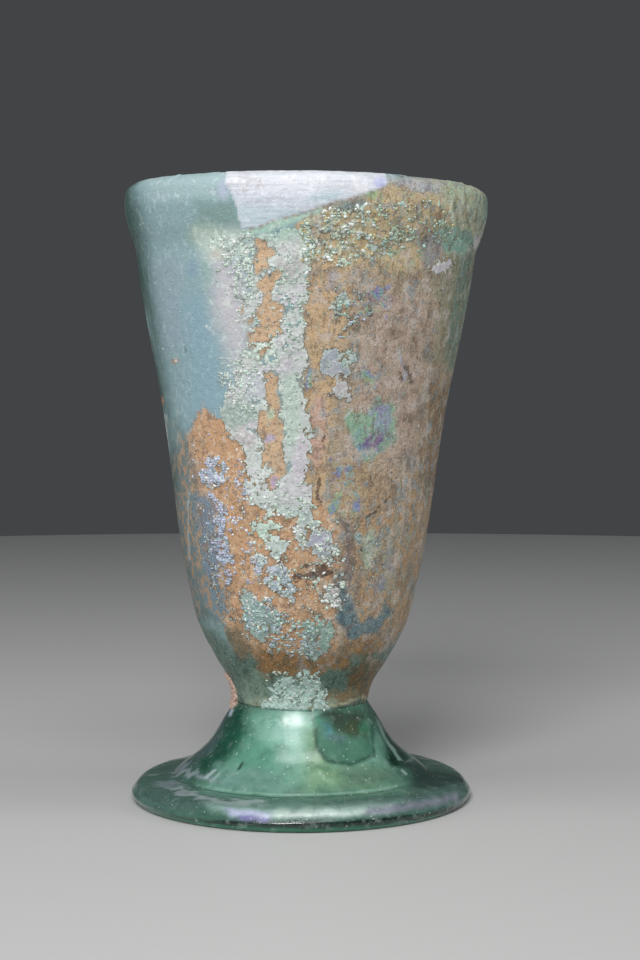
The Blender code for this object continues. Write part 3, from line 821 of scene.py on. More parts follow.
weathering, tree = new_material("weathered_glass")
flake = tree.grain(2.2, 6.0)
chips = tree.grain(1.5, 5.0, (1.0, 1.0, 0.7))
fine = tree.grain(0.35)
middling = tree.grain(1.0, 4.0)
broad = tree.grain(8.0)
streaks = tree.grain(1.0, 5.0, (0.12, 0.12, 2.2))
bead = tree.cells(0.75)
grit_share = tree.layer("grit")
edge = tree.layer("crust") + (flake - 0.5) * 6.5 + (fine - 0.5) * 1.6 + (0.35 - bead) * grit_share * 1.2
on_crust = edge.step(-0.06, 0.06)
rim_light = edge.step(0.02, 0.1) * (1 - edge.step(0.15, 0.6))
shadow = edge.step(-0.4, -0.06) * (1 - on_crust) * tree.layer("depth")
on_fleck = (chips + (tree.layer("flecked") - 0.5) * 0.45).step(0.49, 0.53)
on_sheen = (flake * 0.5 + middling * 0.5 + (tree.layer("sheen") - 0.5) * 0.42).step(0.5, 0.54)
hue = tree.grain(3.4).step(0.3, 0.7)
rainbow = tree.node("ValToRGB", {"stops": RAINBOW_STOPS}, {"Fac": hue})
wiping = tree.layer("wiped")
soiled = tree.layer("depth")
rusted = tree.layer("sheen").step(0.0, 0.12)
mottle = tree.grain(3.2, 8.0)
drips = tree.grain(1.3, 5.0, (1.0, 1.0, 0.2))
bluish = tree.grain(2.6, 7.0, (1.3, 1.3, 0.9)).step(0.53, 0.57) * broad.step(0.44, 0.56)
cracks = (1 - (mottle - 0.46).math("ABSOLUTE").step(0.0, 0.012)) * middling.step(0.46, 0.56)
pits = (1 - fine.step(0.34, 0.43)) * (1 - wiping * 0.7)
specks = fine.step(0.57, 0.66) * (1 - wiping * 0.7)
below = tree.layer("ground", 0).blend(tree.layer("flecks", 0), on_fleck * 0.75)
below = below.blend((0.155, 0.10, 0.066, 1.0), (1 - mottle.step(0.36, 0.48)) * soiled * 0.5)
below = below.blend((0.52, 0.46, 0.42, 1.0), mottle.step(0.52, 0.62) * rusted * 0.55)
below = below.blend((0.21, 0.27, 0.30, 1.0), bluish * rusted * 0.6)
below = below.blend((0.30, 0.35, 0.27, 1.0), drips.step(0.54, 0.66) * rusted * 0.4)
below = below.blend((0.15, 0.11, 0.08, 1.0), (1 - drips.step(0.36, 0.43)) * rusted * 0.5)
below = below.blend(rainbow, on_sheen * 0.7)
below = below.blend((0.10, 0.085, 0.07, 1.0), (1 - middling.step(0.36, 0.47)) * (0.1 + 0.34 * soiled))
below = below.blend((0.05, 0.035, 0.028, 1.0), pits * (0.12 + 0.46 * soiled))
below = below.blend((0.05, 0.03, 0.022, 1.0), cracks * rusted * 0.7)
below = below.blend((0.72, 0.72, 0.70, 1.0), specks * (0.14 + 0.3 * soiled))
below = below.blend((0.30, 0.34, 0.36, 1.0), (1 - streaks.step(0.34, 0.5)) * wiping * 0.4)
below = below.blend((0.84, 0.84, 0.90, 1.0), streaks.step(0.54, 0.68) * wiping * 0.4)
below = below.blend((0.035, 0.03, 0.022, 1.0), shadow * 0.72)
above = tree.layer("tint", 0).blend((0.70, 0.84, 0.74, 1.0), rim_light * 0.55)
above = above.blend((0.56, 0.50, 0.60, 1.0), broad.step(0.5, 0.6) * 0.3)
# Painted highlights on the crust's raised spots, and painted shade between its beads and in its low spots
above = above.blend((0.84, 0.90, 0.86, 1.0), middling.step(0.54, 0.66) * 0.5)
above = above.blend((0.20, 0.26, 0.24, 1.0), bead.step(0.42, 0.62) * grit_share * 0.6)
above = above.blend((0.22, 0.24, 0.22, 1.0), (1 - middling.step(0.3, 0.44)) * 0.5)
above = above.blend((0.16, 0.18, 0.16, 1.0), pits * 0.3)
dark = (tree.layer("stain") + (middling - 0.5) * 3.0 + (fine - 0.5) * 1.4).step(0.0, 0.2)
colour = below.blend(above, on_crust).blend((0.06, 0.036, 0.026, 1.0), dark * 0.8)
knobbly = (1 - bead) * grit_share * (0.35 + 0.65 * on_crust)
height = on_crust * 0.5 + knobbly * 0.9 + fine * 0.35 + middling * 0.6 + flake * 0.3
bump = tree.node("Bump", {}, {"Strength": 0.85, "Distance": 0.00045, "Height": height})
sockets = {
    "Base Color": colour,
    "Roughness": 0.52 - 0.2 * on_crust + 0.12 * fine - 0.1 * wiping,
    "IOR": 1.5,
    "Normal": bump,
}
matte = tree.node("BsdfPrincipled", {}, sockets)
sockets = {"Base Color": BOWL_GREEN, "Roughness": 0.1, "IOR": 1.5, "Transmission Weight": 1.0}
see_through = tree.node("BsdfPrincipled", {}, sockets)
clear_share = tree.layer("clear") * middling.step(0.3, 0.6)
mixed = tree.node("MixShader", {}, {0: clear_share, 1: matte, 2: see_through})
tree.node("OutputMaterial", {}, {"Surface": mixed})

# The bowl as one closed body: the skin, the inside with fewer columns, and the underside
inside_rows = [*lip_line[1::-1], *inside_line[1:-1]]
inside = leaned(swept(inside_rows, bearings[::FEWER])).reshape(-1, 3)
middles = leaned(np.array([[0, 0, JOINT + FLOOR_THICKNESS], [0, 0, JOINT]]))
skin_rings = np.arange(len(skin)).reshape(len(skin_line), -1)
inside_rings = np.arange(len(inside)).reshape(len(inside_rows), -1) + len(skin)
faces = join_rows(inside_rings[0], skin_rings[0])
for upper, lower in zip(skin_rings, skin_rings[1:]):
    faces += join_rows(upper, lower)
for upper, lower in zip(inside_rings, inside_rings[1:]):
    faces += join_rows(lower, upper)
faces += close_with(len(skin) + len(inside), inside_rings[-1], True)
faces += close_with(len(skin) + len(inside) + 1, skin_rings[-1], False)
bowl_mesh = new_mesh("weathered_bowl", np.concatenate([skin, inside, middles]), faces)
bowl = new_piece("weathered_bowl", bowl_mesh, weathering)
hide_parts("bowl")


def store(piece, name, values, rest):
    """Keeps a painted layer on a piece's first points, with a plain value on the rest."""
    coloured = np.ndim(values) == 2
    full = np.ones((len(piece.data.vertices), 4 if coloured else 1))
    full[:, :3] = rest
    full[: len(values), :3] = values if coloured else np.reshape(values, (-1, 1))
    layer = piece.data.attributes.new(name, "FLOAT_COLOR" if coloured else "FLOAT", "POINT")
    layer.data.foreach_set("color" if coloured else "value", full.astype(np.float32).ravel())


store(bowl, "ground", ground, FILM)
store(bowl, "flecks", flecks, PALE_FILM)
store(bowl, "flecked", flecked, 0.35)
store(bowl, "tint", tint, PALE_FILM)
store(bowl, "crust", crust, -4.0)
store(bowl, "depth", depth, 0.0)
store(bowl, "sheen", sheen, 0.0)
store(bowl, "stain", stain, -3.0)
store(bowl, "grit", grit, 0.1)
store(bowl, "wiped", wiped, 0.0)
store(bowl, "clear", clear, 0.0)

# The grains on the bowl.
# Little knobs of silica and lime that have grown on the crust, white, green, blue and gold. They are
# half sunk, mostly under a millimetre across, and lie in drifts along the edges of the plates.
WHITE, MINT = display(232, 236, 232), display(204, 226, 210)
BLUE, LAVENDER = display(190, 204, 226), display(202, 200, 224)
TEAL, GREEN = display(164, 198, 190), display(160, 190, 160)
GOLD, BROWN = display(206, 190, 134), display(128, 112, 104)
BARE_OCHRE = [(-15.4, 73), (-11, 68), (-9.6, 60), (-8.4, 46), (-13.4, 46), (-14.4, 60)]
DRIFTS = [
    ([(-19.6, 117.4), (-10, 118.4), (-9.6, 104), (-13.6, 100), (-17, 108)], 330, 0.22, (WHITE, MINT)),
    (GLITTER, 520, 0.26, (WHITE, MINT, GOLD, TEAL, WHITE)),
    ([(12.6, 123), (30, 125), (31, 116), (18, 112), (12.6, 112)], 260, 0.28, (GREEN, TEAL, MINT, GOLD)),
    ([(-10, 110), (0.6, 110), (0.6, 95), (-10, 95)], 200, 0.22, (MINT, TEAL, WHITE)),
    (LUMPS_HIGH, 300, 0.25, (BLUE, LAVENDER, WHITE, BLUE)),
    (LUMPS_MIDDLE, 130, 0.25, (BLUE, LAVENDER, BLUE)),
    (LUMPS_LOW, 280, 0.25, (BLUE, LAVENDER, BLUE)),
    ([(-19.8, 62), (-17.6, 58), (-16.2, 44), (-17.4, 42), (-19.4, 50)], 110, 0.2, (BLUE, TEAL)),
    (BARE_OCHRE, 210, 0.27, (BLUE, WHITE, LAVENDER)),
    ([(-8, 42), (3, 41), (3, 33), (-7, 33)], 220, 0.28, (BLUE, TEAL, MINT)),
    ([(-13, 46.6), (-5, 45.4), (-4, 37), (-12, 37)], 160, 0.28, (WHITE, TEAL, BLUE)),
    ([(-11.6, 66), (2.6, 66), (8.6, 52), (-3, 43), (-10, 48)], 420, 0.25, (MINT, MINT, WHITE)),
    ([(-8.6, 30), (4.6, 30.6), (5.6, 22.6), (-8, 22.6)], 150, 0.28, (WHITE, MINT, TEAL, MINT)),
    ([(-23, 79), (-16, 78), (-10, 68), (-15, 60), (-22, 62)], 110, 0.2, (WHITE, LAVENDER, BLUE)),
    ([(-17, 93), (-9, 93), (-9, 80), (-16.6, 86)], 260, 0.24, (WHITE, MINT)),
    ([(2.8, 48), (8.4, 48), (8.6, 42), (3.2, 42)], 120, 0.27, (WHITE, MINT)),
    ([(6, 104), (14, 104), (14, 97), (7, 97)], 90, 0.26, (BLUE, BROWN, TEAL)),
    ([(-4.6, 112), (1.6, 112), (2.4, 54), (-1, 54)], 240, 0.2, (GREEN, MINT)),
    ([(-34, 126), (-18, 128), (-18, 84), (-26, 84)], 110, 0.1, (WHITE, MINT)),
]
GRAIN_RINGS = 4
GRAIN_SIDES = 6
SUNK = -0.22
draw = np.random.default_rng(350)


def knob():
    """Points and faces of a round knob of unit radius."""
    points = [(0.0, 0.0, 1.0)]
    for i in range(1, GRAIN_RINGS):
        polar = math.pi * i / GRAIN_RINGS
        for j in range(GRAIN_SIDES):
            bearing = math.tau * (j + 0.5 * i) / GRAIN_SIDES
            flat = math.sin(polar)
            points.append((flat * math.cos(bearing), flat * math.sin(bearing), math.cos(polar)))
    points.append((0.0, 0.0, -1.0))
    rings = np.arange(1, 1 + (GRAIN_RINGS - 1) * GRAIN_SIDES).reshape(-1, GRAIN_SIDES)
    faces = close_with(0, rings[0], True)
    for upper, lower in zip(rings, rings[1:]):
        faces += join_rows(upper, lower)
    return np.array(points), faces + close_with(len(points) - 1, rings[-1], False)


knob_points, knob_faces = knob()
grain_points, grain_faces, grain_colours = [], [], []
drifted = speck + small[0] * 0.5 + coarse[1] * 0.7 + crusted * 0.4 > 0.3
for outline, number, size, colours in DRIFTS:
    room = np.flatnonzero((within(outline, RAGGED) > 0) & (facing > 0.05) & drifted & (on_sherd < 0.5))
    for spot in draw.choice(room, number):
        radius = size * draw.uniform(0.7, 1.25) ** 2.4
        turn = np.array(Vector(outward[spot]).to_track_quat("Z", "Y").to_matrix())
        shape = knob_points * (draw.uniform(0.9, 1.5), draw.uniform(0.55, 1.0), 0.7) * radius
        shape = shape * (1 + 0.2 * draw.standard_normal((len(shape), 1)))
        spin = np.array(Matrix.Rotation(draw.uniform(0, math.tau), 3, "Z"))
        start = len(grain_points) * len(knob_points)
        grain_points.append(shape @ spin.T @ turn.T + skin[spot] + outward[spot] * radius * SUNK)
        grain_faces += [[start + corner for corner in face] for face in knob_faces]
        shade = colours[draw.integers(len(colours))] * draw.uniform(0.45, 1.0)
        grain_colours.append(np.tile(shade, (len(knob_points), 1)))

grain_finish, tree = new_material("crust_grains")
fine = tree.grain(0.2)
colour = tree.layer("ground", 0).blend((0.90, 0.94, 0.92, 1.0), fine.step(0.5, 0.65) * 0.3)
bump = tree.node("Bump", {}, {"Strength": 0.4, "Distance": 0.0001, "Height": fine})
sockets = {"Base Color": colour, "Roughness": 0.22, "IOR": 1.5, "Normal": bump}
surface = tree.node("BsdfPrincipled", {}, sockets)
tree.node("OutputMaterial", {}, {"Surface": surface})
grain_mesh = new_mesh("crust_grains", np.concatenate(grain_points), grain_faces)
grains = new_piece("crust_grains", grain_mesh, grain_finish)
store(grains, "ground", np.clip(np.concatenate(grain_colours), 0, 1), WHITE)

# The foot.
# A second gather of the same green glass, stuck to the bowl, pulled out to a trumpet and folded back
# under itself, so that it ends in a flattened tube. It is clean but for a thin film, dust and bubbles.
FOOT_KNOTS = [(14.0, JOINT), (16.2, 17.5), (19.8, 11.8), (26.7, 5.85)]
CREASE = [(27.05, 5.5), (27.4, 5.36)]
RING_KNOTS = [(27.9, 5.46), (30.8, 5.15), (34.5, 4.1), (36.2, 2.0)]
STANDING_RADIUS = 34.9
STANDING_WIDTH = 2.4
FOOT_TOP_THICKNESS = 3.4
TRUMPET_WALL = 2.5
RING_WALL = 1.3
FOLD_SLIT = 0.6
FOOT_STEP = 0.4
FOOT_COLUMNS = 280
ROOF_START = 27.0
VAULT_STEP = 1.2
RING_WAVE = 0.2
RING_TILT = 0.2
RING_REACH = 36
RING_DROP = 0.1
RING_SHIFT = 0.15
SKIN_WAVE = 0.04

trumpet = [Vector(knot) for knot in FOOT_KNOTS]
crease = [Vector(knot) for knot in CREASE]
ring = [Vector(knot) for knot in RING_KNOTS]
edge_middle = Vector((STANDING_RADIUS, ring[-1].y))
standing_edge = quarter(edge_middle, ring[-1].x - STANDING_RADIUS, ring[-1].y, 0, 6)
roof = inside_of([trumpet[-1], *ring[1:]], [RING_WALL] * 4)
roof[0] = Vector((ROOF_START, crease[0].y - RING_WALL))
slit_low = roof[0] - Vector((0, FOLD_SLIT))
under_outer = Vector((STANDING_RADIUS - STANDING_WIDTH, 0))
tip = slit_low - Vector((RING_WALL / 2, RING_WALL / 2))
hollow_floor = Vector((under_outer.x, RING_WALL))
hollow_end = Vector((roof[-1].x - RING_WALL / 3, RING_WALL))
fold = [under_outer, slit_low - Vector((0, RING_WALL)), tip, slit_low, hollow_floor, hollow_end]
underside = inside_of(trumpet, [TRUMPET_WALL] * 4)
dome = Vector((0, JOINT - FOOT_TOP_THICKNESS))
haunch = Vector((underside[1].x * 0.6, dome.y - FOOT_TOP_THICKNESS * 0.1))
vault = smooth_line([roof[0] - Vector((RING_WALL, 0)), underside[2], underside[1], haunch, dome], VAULT_STEP)
over = [*smooth_line(trumpet, FOOT_STEP), *crease, *smooth_line(ring, FOOT_STEP), *standing_edge[1:]]
foot_line = [*over, *fold, *reversed(roof), *vault[:-1]]
foot_turns = np.linspace(0, math.tau, FOOT_COLUMNS, endpoint=False) - math.pi / 2
foot_skin = swept(foot_line, foot_turns).reshape(-1, 3)
over_count = len(over) * FOOT_COLUMNS
top = foot_skin[:over_count]
lifted = smoothstep(0, 3, top[:, 2])
ring_share = smoothstep(25, 30, np.linalg.norm(top[:, :2], axis=1)) * lifted
top[:, 2] += (RING_WAVE * ripple(top, 14, 21) + RING_TILT * top[:, 0] / RING_REACH - RING_DROP) * ring_share
top[:, 2] += SKIN_WAVE * ripple(top, 4, 22) * lifted
top[:, 0] -= RING_SHIFT * ring_share
foot_skin[:, 0] += axis_across
foot_centres = np.array([[axis_across, 0, JOINT], [axis_across, 0, dome.y]])
foot_rings = np.arange(len(foot_skin)).reshape(len(foot_line), -1)
faces = close_with(len(foot_skin), foot_rings[0], True)
for upper, lower in zip(foot_rings, foot_rings[1:]):
    faces += join_rows(upper, lower)
faces += close_with(len(foot_skin) + 1, foot_rings[-1], False)

film_and_light = np.full(over_count, 0.3)
film_and_light_colour = np.tile(display(112, 160, 142), (over_count, 1))
foot_places = ruled(foot_skin[:over_count])
foot_wander = np.stack([ripple(top, 3, seed) for seed in (23, 24)], axis=1)
foot_front = smoothstep(4, -4, top[:, 1])

# Films, painted highlights and painted shade on the foot: how thick, what colour, where, how soft the edge is
# and how far it wanders
BLOT_EDGE = [(2, 20.6), (2.5, 14.6), (4.4, 12), (9.2, 11), (14.4, 12.8), (14.2, 20), (12, 24.6)]
BLOT = [(2.5, 20.6), (3, 14.8), (4.8, 12.5), (9.2, 11.5), (14, 13.2), (13.8, 20), (12, 24.6)]
# A pale line down the right of the trumpet is a painted reflection of a lamp
RIGHT_REFLECTION_LINE = [(14.4, 21), (14.8, 21), (17.4, 15.4), (20.2, 12), (19.2, 12), (16.4, 15.6)]
GREY_FLANK = [(-15.4, 24), (-14, 22), (-18, 14.4), (-23, 10.6), (-35, 10), (-34, 14), (-22, 16)]
LEFT_WASH = [(-34.6, 10), (-27, 12.6), (-20, 9.6), (-16.4, 7), (-23, 8.6), (-29, 10.2)]
RING_HAZE = [(-34, 7.6), (-20, 5), (0, 4.2), (20, 5), (28, 7), (34, 8), (34, 2), (0, 1.4), (-34, 2)]
RING_WASH = [(-28, 7), (-22, 5.8), (-16, 4.6), (-7, 4.2), (-6.4, 3.4), (-14, 3), (-24, 5)]
# The roll's painted highlight and its brightest part, the painted shade under it, and the lowest edge painted
# bright as light through the glass
ROLL_HIGHLIGHT = [(-20, 3.6), (-8, 2.9), (6, 3.0), (20, 4.2), (16, 2.2), (6, 1.0), (-8, 0.8), (-18, 1.6)]
ROLL_HIGHLIGHT_PEAK = [(-6, 1.9), (2, 1.9), (10, 2.1), (18, 3.0), (17, 1.9), (8, 0.8), (-5, 0.6)]
ROLL_SHADE = [(-34, 2.2), (-20, 0.3), (-6, -0.1), (8, 0.1), (24, 1.7), (34, 4), (34, 1.6), (0, -3), (-34, 0)]
LIT_LOWEST_EDGE = [(-33, 2.6), (-25, 0.5), (-16, -0.9), (0, -1.6), (20, -0.7), (33, 2.6), (34, -5), (-34, -5)]
FOOT_FILMS = [
    (0.62, (130, 186, 164), [(-14, 23), (12, 23), (20, 6), (-20, 6)], 3.0, 0.6),
    # Painted shade: darker green on the left flank of the trumpet
    (0.4, (44, 104, 84), [(-17, 24), (-11, 24), (-11.6, 15), (-19, 9), (-22, 10)], 1.8, 0.6),
    (0.64, (110, 174, 150), [(-12, 16), (-5, 17), (-5, 6), (-17, 6)], 2.0, 0.6),
    (0.64, (122, 168, 154), [(-17, 11.4), (-4, 9.6), (-4, 5.4), (-19, 6)], 1.2, 1.0),
    # A painted highlight high on the front of the trumpet, with a painted glow round it
    (0.74, (160, 212, 194), oval(-2.6, 18.2, 4.6, 4.0, 6), 2.4, 0.6),
    (0.95, (226, 250, 240), oval(-2.2, 20.0, 2.3, 1.0, 4), 1.2, 0.5),
    (0.66, (134, 176, 138), [(0.6, 18), (3.4, 18), (6, 11), (13, 10), (15, 6.4), (0.4, 6)], 2.4, 0.6),
    (0.6, (112, 148, 124), [(8, 10.6), (17, 11), (20, 7.4), (8, 6)], 2.0, 0.6),
    (0.5, (48, 84, 70), BLOT_EDGE, 0.5, 0.3),
    (0.66, (92, 142, 120), BLOT, 0.7, 0.3),
    (0.62, (72, 88, 76), [(3.6, 22.4), (7.4, 22.6), (13, 21.6), (12.6, 17.4), (6.6, 18)], 1.4, 0.8),
    (0.6, (84, 96, 70), oval(10.2, 18.4, 2.0, 1.6), 1.4, 0.8),
    (0.66, (92, 172, 140), oval(2.7, 19.6, 0.7, 1.2), 0.9, 0.8),
    (0.64, (96, 152, 160), oval(4.4, 18.6, 0.8, 1.2, -30), 1.1, 1.2),
    (0.58, (104, 124, 138), oval(7.0, 16.6, 2.0, 0.4, 24), 0.9, 1.2),
    (0.55, (80, 154, 116), oval(12.2, 18.8, 0.8, 1.0), 0.9, 0.8),
    # Painted shade: darker green on the right flank of the trumpet
    (0.12, (34, 84, 64), [(13.6, 24), (15.6, 24), (21.6, 11), (17.6, 11)], 0.7, 0.4),
    # Painted reflection: the pale line down the right of the trumpet
    (0.75, (132, 164, 154), RIGHT_REFLECTION_LINE, 0.25, 0.3),
    (0.6, (84, 110, 110), GREY_FLANK, 0.9, 1.0),
    (0.7, (146, 160, 168), LEFT_WASH, 0.5, 1.8),
    (0.66, (136, 152, 158), [(-30.6, 7.4), (-26, 8.2), (-22.6, 6.6), (-26, 6.6)], 0.4, 1.2),
    (0.66, (150, 160, 168), oval(21.8, 12.4, 1.8, 0.4, -28), 0.3, 0.3),
    (0.35, (58, 86, 80), [(20.4, 11.6), (25, 13), (34, 11), (34, 5.4), (23, 6.6)], 1.0, 0.6),
    (0.5, (98, 130, 122), RING_HAZE, 0.8, 0.6),
    (0.66, (166, 182, 184), RING_WASH, 0.3, 1.2),
    # Painted highlight along the roll, pale green, white and lilac
    (0.72, (146, 178, 168), ROLL_HIGHLIGHT, 1.1, 0.4),
    (0.8, (196, 216, 208), ROLL_HIGHLIGHT_PEAK, 0.8, 0.5),
    (0.66, (150, 150, 168), [(13, 2.6), (22, 3.7), (31, 5.4), (31, 4.2), (20, 2.0), (12, 1.2)], 1.0, 0.6),
    (0.84, (190, 194, 226), [(-16, 2.4), (-10, 1.9), (-6.6, 1.5), (-6.8, 0.3), (-14, 0.6)], 0.8, 0.5),
    # Painted shade: the dark band under the roll's painted highlight
    (0.7, (18, 38, 34), ROLL_SHADE, 0.4, 0.3),
    # More of the roll's painted highlight, in violet
    (0.66, (140, 130, 200), oval(-9.8, 0.4, 3.2, 0.45, 5), 0.5, 0.4),
    # Painted light: the lowest edge made bright green, as light through the glass shows it
    (0.86, (48, 122, 94), LIT_LOWEST_EDGE, 0.4, 0.3),
]
for share, colour, outline, soft, wander in FOOT_FILMS:
    amount = smoothstep(-soft, soft, within(outline, foot_places + foot_wander * wander)) * foot_front
    put(film_and_light, share, amount)
    put(film_and_light_colour, display(*colour), amount)

# Bubbles drawn long, a slit, a few ticks and a painted glint in the foot
FOOT_LINES = [
    ([(-19.4, 8.6), (-17.6, 10.2)], 0.26, (168, 188, 188)),
    ([(-18.2, 8.0), (-16.6, 9.6)], 0.2, (156, 178, 174)),
    ([(-12.8, 10.4), (-12.1, 11.6)], 0.24, (8, 20, 18)),
    ([(-12.5, 21.6), (-12.2, 22.6)], 0.16, (24, 60, 50)),
    ([(-12.6, 18.8), (-12.2, 19.6)], 0.16, (24, 60, 50)),
    # A painted glint
    ([(-14.6, 21.2), (-14.2, 22.2)], 0.3, (196, 210, 230)),
    ([(3.0, 10.4), (3.6, 9.2), (4.6, 8.0)], 0.12, (170, 204, 180)),
    ([(19.8, 10.2), (20.6, 9.4)], 0.24, (150, 178, 176)),
    ([(-17.6, 13.6), (-16.4, 15.2)], 0.2, (40, 66, 60)),
    ([(-19.8, 12.6), (-18.8, 13.6)], 0.2, (44, 70, 66)),
]
for line, width, colour in FOOT_LINES:
    amount = smoothstep(-0.2, 0.2, width - along(line, foot_places)) * foot_front
    put(film_and_light, 0.8, amount)
    put(film_and_light_colour, display(*colour), amount)

# The crease catches light on its upper edge and is dark below it, less so towards the sides
crease_row = len(smooth_line(trumpet, FOOT_STEP))
from_front = np.abs((foot_turns + math.pi / 2 + math.pi) % math.tau - math.pi)
crease_share = smoothstep(1.1, 0.6, from_front)
for row, share, colour in ((-1, 0.6, (150, 196, 176)), (1, 0.6, (44, 84, 70))):
    ring_corners = slice((crease_row + row) * FOOT_COLUMNS, (crease_row + row + 1) * FOOT_COLUMNS)
    put(film_and_light[ring_corners], share, crease_share)
    put(film_and_light_colour[ring_corners], display(*colour), crease_share)

FOOT_GREEN = (0.20, 0.56, 0.42, 1.0)
foot_finish, tree = new_material("clean_glass")
fine = tree.grain(0.5)
swirl = tree.grain(2.4, 5.0)
soft_clouds = tree.grain(6.0)
dust = 1 - tree.cells(1.3).step(0.07, 0.12)
dark_dust = 1 - tree.cells(1.7).step(0.06, 0.1)
# The hazy layer holds the films and the painted highlights and shade alike
misted_and_lit_colour = tree.layer("film_and_light_colour", 0).blend((0.05, 0.15, 0.11, 1.0), (1 - swirl.step(0.34, 0.5)) * 0.35)
misted_and_lit_colour = misted_and_lit_colour.blend((0.52, 0.66, 0.60, 1.0), swirl.step(0.52, 0.68) * 0.25)
misted_and_lit_colour = misted_and_lit_colour.blend((0.03, 0.06, 0.05, 1.0), dark_dust * 0.5)
misted_and_lit_colour = misted_and_lit_colour.blend((0.72, 0.72, 0.68, 1.0), dust * 0.7)
bump = tree.node("Bump", {}, {"Strength": 0.3, "Distance": 0.00012, "Height": fine + swirl * 2.0})
sockets = {"Base Color": misted_and_lit_colour, "Roughness": 0.3, "IOR": 1.5, "Normal": bump}
sockets |= {"Coat Weight": 0.6, "Coat Roughness": 0.12}
misted_and_lit = tree.node("BsdfPrincipled", {}, sockets)
sockets = {"Base Color": FOOT_GREEN, "Roughness": 0.04, "IOR": 1.5, "Normal": bump}
sockets |= {"Transmission Weight": 1.0}
glass = tree.node("BsdfPrincipled", {}, sockets)
share = tree.layer("film_and_light") * (0.7 + 0.6 * soft_clouds) + dust * 0.4
mixed = tree.node("MixShader", {}, {0: share, 1: glass, 2: misted_and_lit})
tree.node("OutputMaterial", {}, {"Surface": mixed})
foot_mesh = new_mesh("trumpet_foot", np.concatenate([foot_skin, foot_centres]), faces)
foot = new_piece("trumpet_foot", foot_mesh, foot_finish)
store(foot, "film_and_light", film_and_light, 0.1)
store(foot, "film_and_light_colour", film_and_light_colour, display(110, 160, 140))
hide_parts("foot")

# The crust at the joint.
# Hard, lumpy burial earth that fills the corner between bowl and foot on the left. It is pinkish
# beige, thickest in the corner, and its torn edge thins out over the glass.
EARTH_RISE = 6.9
EARTH_FALL = 2.4
EARTH_WIDTH = 8.8
EARTH_BEARING = math.radians(183)
EARTH_STEP = 0.25
EARTH_COLUMNS = 50
EARTH_SKIN = 0.4
EARTH_FILL = 0.5
EARTH_FILL_REACH = 1.7
EARTH_LUMPS = 0.4
EARTH_LUMP_SIZE = 1.3
EARTH_TEARS = 0.9
EARTH_TEAR_SIZE = 2.4
EARTH_END_SHARE = 0.35
EARTH_FADE = 1.2
EARTH_ROOT = 0.45
EARTH_DARK = (0.42, 0.24, 0.17, 1.0)
EARTH_PALE = (0.80, 0.62, 0.52, 1.0)

glass_line = [*skin_line[:-1:2], *over[::2]]
near_joint = [point for point in glass_line if -EARTH_FALL < point.y - JOINT < EARTH_RISE]
corner_line = smooth_line(near_joint, EARTH_STEP)
neck_radius = BOWL_OUTSIDE[-1][0][0]
half_turn = EARTH_WIDTH / 2 / neck_radius
earth_turns = EARTH_BEARING + np.linspace(-half_turn, half_turn, EARTH_COLUMNS)
glass_face = swept(corner_line, earth_turns)
away = swept(outward_of(corner_line), earth_turns)
rise = np.array([point.y - JOINT for point in corner_line])[:, None]
swelling = np.sin(math.pi * (EARTH_RISE - rise) / (EARTH_RISE + EARTH_FALL))
half_width = EARTH_WIDTH / 2 * (EARTH_END_SHARE + (1 - EARTH_END_SHARE) * swelling)
room = half_width - np.abs(earth_turns - EARTH_BEARING) * neck_radius
room = np.minimum(room, np.minimum(EARTH_RISE - rise, rise + EARTH_FALL) - EARTH_STEP)
spots = glass_face.reshape(-1, 3)
torn = ripple(spots, EARTH_TEAR_SIZE, 32).reshape(room.shape)
lumps = ripple(spots, EARTH_LUMP_SIZE, 31, 4).reshape(room.shape)
cling = smoothstep(0, EARTH_FADE, room + torn * EARTH_TEARS) * smoothstep(0, EARTH_STEP, room)
thick = (EARTH_SKIN + EARTH_FILL * np.exp(-((rise / EARTH_FILL_REACH) ** 2)) + EARTH_LUMPS * lumps) * cling
thick = np.maximum(thick - EARTH_SKIN * (1 - cling), -EARTH_SKIN)
outer_face = glass_face + away * thick[:, :, None]
inner_face = glass_face - away * (EARTH_SKIN + EARTH_ROOT)
outer_grid = np.arange(room.size).reshape(room.shape)
inner_grid = outer_grid + room.size
faces = []
for upper, lower in zip(outer_grid, outer_grid[1:]):
    faces += [list(face) for face in zip(lower, lower[1:], upper[1:], upper)]
for upper, lower in zip(inner_grid, inner_grid[1:]):
    faces += [list(face) for face in zip(upper, upper[1:], lower[1:], lower)]
round_edge = [*outer_grid[0], *outer_grid[1:, -1], *outer_grid[-1, -2::-1], *outer_grid[-2:0:-1, 0]]
for a, b in zip(round_edge, np.roll(round_edge, -1)):
    faces.append([a, b, b + room.size, a + room.size])
earth_points = np.concatenate([outer_face.reshape(-1, 3), inner_face.reshape(-1, 3)]) + (axis_across, 0, 0)
earth_mesh = new_mesh("joint_earth", earth_points, faces)

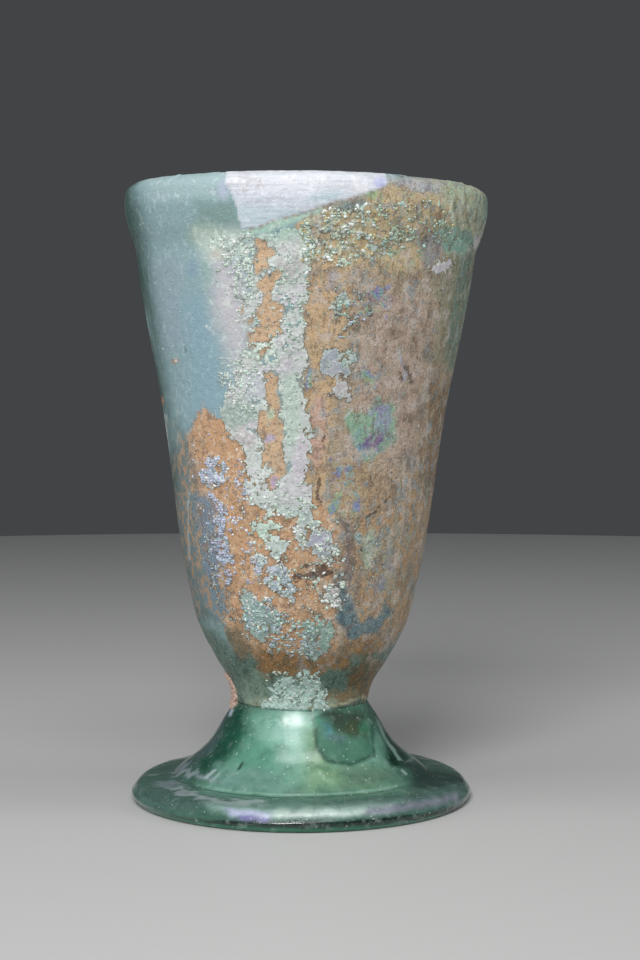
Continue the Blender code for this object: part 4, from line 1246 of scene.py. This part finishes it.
earth, tree = new_material("burial_earth")
fine = tree.grain(0.35, 4.0)
lumps = tree.grain(1.4, 4.0)
colour = tree.node("Mix", {"data_type": "RGBA"}, {0: lumps, 6: EARTH_DARK, 7: EARTH_PALE}, 2)
colour = colour.blend((0.10, 0.08, 0.06, 1.0), (1 - fine.step(0.34, 0.5)) * 0.6)
colour = colour.blend((0.86, 0.78, 0.72, 1.0), fine.step(0.56, 0.7) * 0.5)
bump = tree.node("Bump", {}, {"Strength": 0.9, "Distance": 0.0004, "Height": lumps + fine * 0.6})
surface = tree.node("BsdfPrincipled", {}, {"Base Color": colour, "Roughness": 0.85, "Normal": bump})
tree.node("OutputMaterial", {}, {"Surface": surface})
joint_earth = new_piece("joint_earth", earth_mesh, earth)
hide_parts("joint_crust")

# The stage.
# A plain pale floor and soft studio lights.
FLOOR_RADIUS = 0.7
bpy.ops.mesh.primitive_circle_add(vertices=128, radius=FLOOR_RADIUS, fill_type="NGON")
floor = bpy.context.object
floor.name = "floor"
floor_finish, tree = new_material("floor")
shader = tree.node("BsdfPrincipled", {}, {"Base Color": (0.52, 0.52, 0.515, 1.0), "Roughness": 0.6})
tree.node("OutputMaterial", {}, {"Surface": shader})
floor.data.materials.append(floor_finish)

world = bpy.data.worlds.new("studio")
world.use_nodes = True
world.node_tree.nodes["Background"].inputs["Color"].default_value = (0.055, 0.058, 0.062, 1.0)
bpy.context.scene.world = world
bpy.context.scene.view_settings.view_transform = "Standard"


def softbox(name, place, aim, width, height, watts, mirrored=True):
    """A soft studio light that faces a point, and that glass may mirror or not."""
    light = bpy.data.lights.new(name, "AREA")
    light.shape = "RECTANGLE"
    light.size = width
    light.size_y = height
    light.energy = watts
    lamp = bpy.data.objects.new(name, light)
    lamp.location = place
    lamp.rotation_euler = (Vector(aim) - Vector(place)).to_track_quat("-Z", "Y").to_euler()
    lamp.visible_glossy = mirrored
    bpy.context.scene.collection.objects.link(lamp)


softbox("front", (-0.12, -0.62, 0.48), (0, 0, 0.09), 0.26, 0.26, 3.9)
softbox("left", (-0.6, -0.15, 0.3), (0, 0, 0.08), 0.2, 0.6, 1.3, False)
softbox("right", (0.6, -0.1, 0.3), (0, 0, 0.08), 0.2, 0.6, 1.6, False)
softbox("top", (-0.02, -0.28, 0.62), (0, 0, 0.06), 0.45, 0.2, 1.4)
